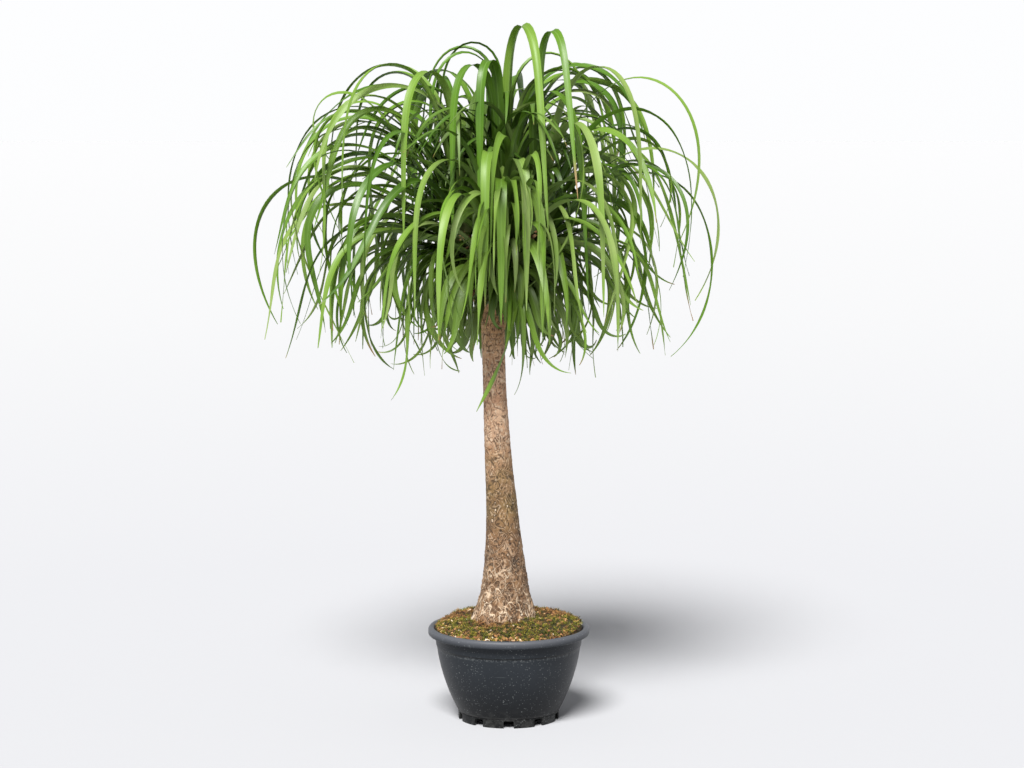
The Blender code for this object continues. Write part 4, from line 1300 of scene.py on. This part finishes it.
def sprig_finish():
    """Yellow-green to olive leaflets, red-brown where they have dried."""
    material = Material("moss sprig")
    hue, dry, lift = material.attribute("tint").parts()
    green = hue.ramp(
        (0.05, (0.040, 0.046, 0.005)), (0.40, (0.120, 0.132, 0.011)),
        (0.75, (0.275, 0.250, 0.018)), (0.97, (0.470, 0.345, 0.060)),
    )
    brown = hue.ramp(
        (0.10, (0.064, 0.026, 0.008)), (0.55, (0.225, 0.100, 0.026)), (0.95, (0.500, 0.275, 0.085)),
    )
    colour = green.mixed(brown, (dry * 1.15 + hue * 0.35).fade(0.52, 0.74))
    # painted shade: each leaflet darker towards its root, the lowest ones darkest
    colour = colour.shaded(lift.ramp((0.0, 0.10), (0.6, 0.60), (1.0, 1.10)))
    return material.finish(Base_Color=colour, Roughness=0.85)


def litter_finish():
    """Chips from dark brown over tan and orange to bone white."""
    material = Material("litter")
    colour = material.attribute("tint").parts()[0].ramp(
        (0.05, (0.070, 0.028, 0.013)), (0.40, (0.210, 0.085, 0.032)), (0.70, (0.400, 0.205, 0.075)),
        (0.90, (0.560, 0.370, 0.180)), (0.985, (0.780, 0.700, 0.560)),
    )
    fine = material.place().noise(700.0, detail=2.0)
    colour = colour.shaded(fine.ramp((0.3, 0.6), (0.7, 1.3)), 0.6)
    return material.finish(Base_Color=colour, Roughness=0.85, Normal=fine.bump(0.5, 0.0006))


def soil_finish():
    """Dark compost of peat and bark crumbs."""
    material = Material("potting soil")
    distance, own_colour = material.place().cells(260.0)
    colour = own_colour.parts()[0].ramp(
        (0.1, (0.016, 0.010, 0.006)), (0.6, (0.050, 0.030, 0.018)), (0.97, (0.160, 0.100, 0.055)),
    )
    return material.finish(Base_Color=colour, Roughness=0.95, Normal=distance.bump(1.0, 0.002))


# ---- stage, light and camera ----
CAMERA_DISTANCE = 5.2516        # from the middle of the pot's rim
CAMERA_ELEVATION = 11.7         # of the camera over the rim, in degrees
CAMERA_DIP = 5.956              # by which it looks down, in degrees
CAMERA_LENS = 84.375            # in mm, as the sensor's width is
CAMERA_SENSOR = 36.0
CAMERA_SHIFT_RIGHT = 0.0072     # so that the pot stands a little left of the middle
# Colour of the floor by d / (d + FLOOR_SPREAD) at a distance d: a little brighter far behind the plant
FLOOR_COLOURS = (
    (0.20, (0.451, 0.456, 0.482)),
    (0.60, (0.489, 0.494, 0.511)),
    (1.0, (0.509, 0.513, 0.529)),
)
FLOOR_SPREAD = 8.0
FLOOR_RADIUS = 400.0
FLOOR_SIDES = 96
DOME = ((0.0, 0.995), (0.06, 1.0), (0.15, 0.62), (0.50, 0.34), (1.0, 0.30))     # brightness by height
DOME_TINT = (0.985, 0.990, 1.0)
KEY_FROM = (-0.20, -0.86, 1.02)
KEY_STRENGTH = 6.6
KEY_BREADTH = 25.0              # of the light as seen from the plant, in degrees
KEY_TINT = (1.0, 0.99, 0.96)


def floor():
    """A wide pale floor, as bright in the distance as the dome's horizon."""
    mesh = bpy.data.meshes.new("floor")
    mesh.from_pydata(circle(FLOOR_RADIUS, 0.0, FLOOR_SIDES), [], [tuple(range(FLOOR_SIDES))])
    material = Material("floor")
    x, y, _ = material.place().parts()
    away = (x * x + y * y).maths("SQRT")
    colour = (away / (away + FLOOR_SPREAD)).ramp(*FLOOR_COLOURS)
    mesh.materials.append(material.finish(Base_Color=colour, Roughness=0.95, Specular_IOR_Level=0.0))
    in_scene("floor", mesh)


def world():
    """A studio dome: nearly white all round, dimmer overhead so that the key light can model the leaves."""
    made = bpy.data.worlds.new("studio")
    made.use_nodes = True
    up = Value(add_node(made.node_tree, "ShaderNodeTexCoord").outputs["Generated"]).parts()[2]
    sky = up.ramp(*[(height, tuple(grey * tint for tint in DOME_TINT)) for height, grey in DOME])
    feed(made.node_tree.nodes["Background"].inputs["Color"], sky)
    bpy.context.scene.world = made


def key_light():
    """One broad, soft light from above the camera's left."""
    data = bpy.data.lights.new("key", "SUN")
    data.energy = KEY_STRENGTH
    data.angle = math.radians(KEY_BREADTH)
    data.color = KEY_TINT
    in_scene("key", data).rotation_euler = (-Vector(KEY_FROM)).to_track_quat("-Z", "Y").to_euler()


def camera():
    """The photograph's camera, which looks down on the plant a little from its front."""
    data = bpy.data.cameras.new("camera")
    data.lens = CAMERA_LENS
    data.sensor_width = CAMERA_SENSOR
    made = in_scene("camera", data)
    rise = math.radians(CAMERA_ELEVATION)
    made.location = (
        CAMERA_SHIFT_RIGHT,
        -CAMERA_DISTANCE * math.cos(rise),
        POT_HEIGHT + CAMERA_DISTANCE * math.sin(rise),
    )
    made.rotation_euler = (math.radians(90 - CAMERA_DIP), 0.0, 0.0)
    bpy.context.scene.camera = made


# ---- the whole plant ----
rng = random.Random(SEED)
pot(pot_finish())
frame["nodes"]["potting_soil"].data.materials[0] = soil_finish()
moss_bed(moss_finish())
moss_sprigs(sprig_finish(), rng)
litter(litter_finish(), rng)
stem(bark_finish())
grown = frame_leaves()
leaf_material = leaf_finish()
for head in HEADS:
    foliage(head, grown, leaf_material, rng)

floor()
world()
key_light()
camera()
bpy.context.scene.view_settings.view_transform = "Standard"
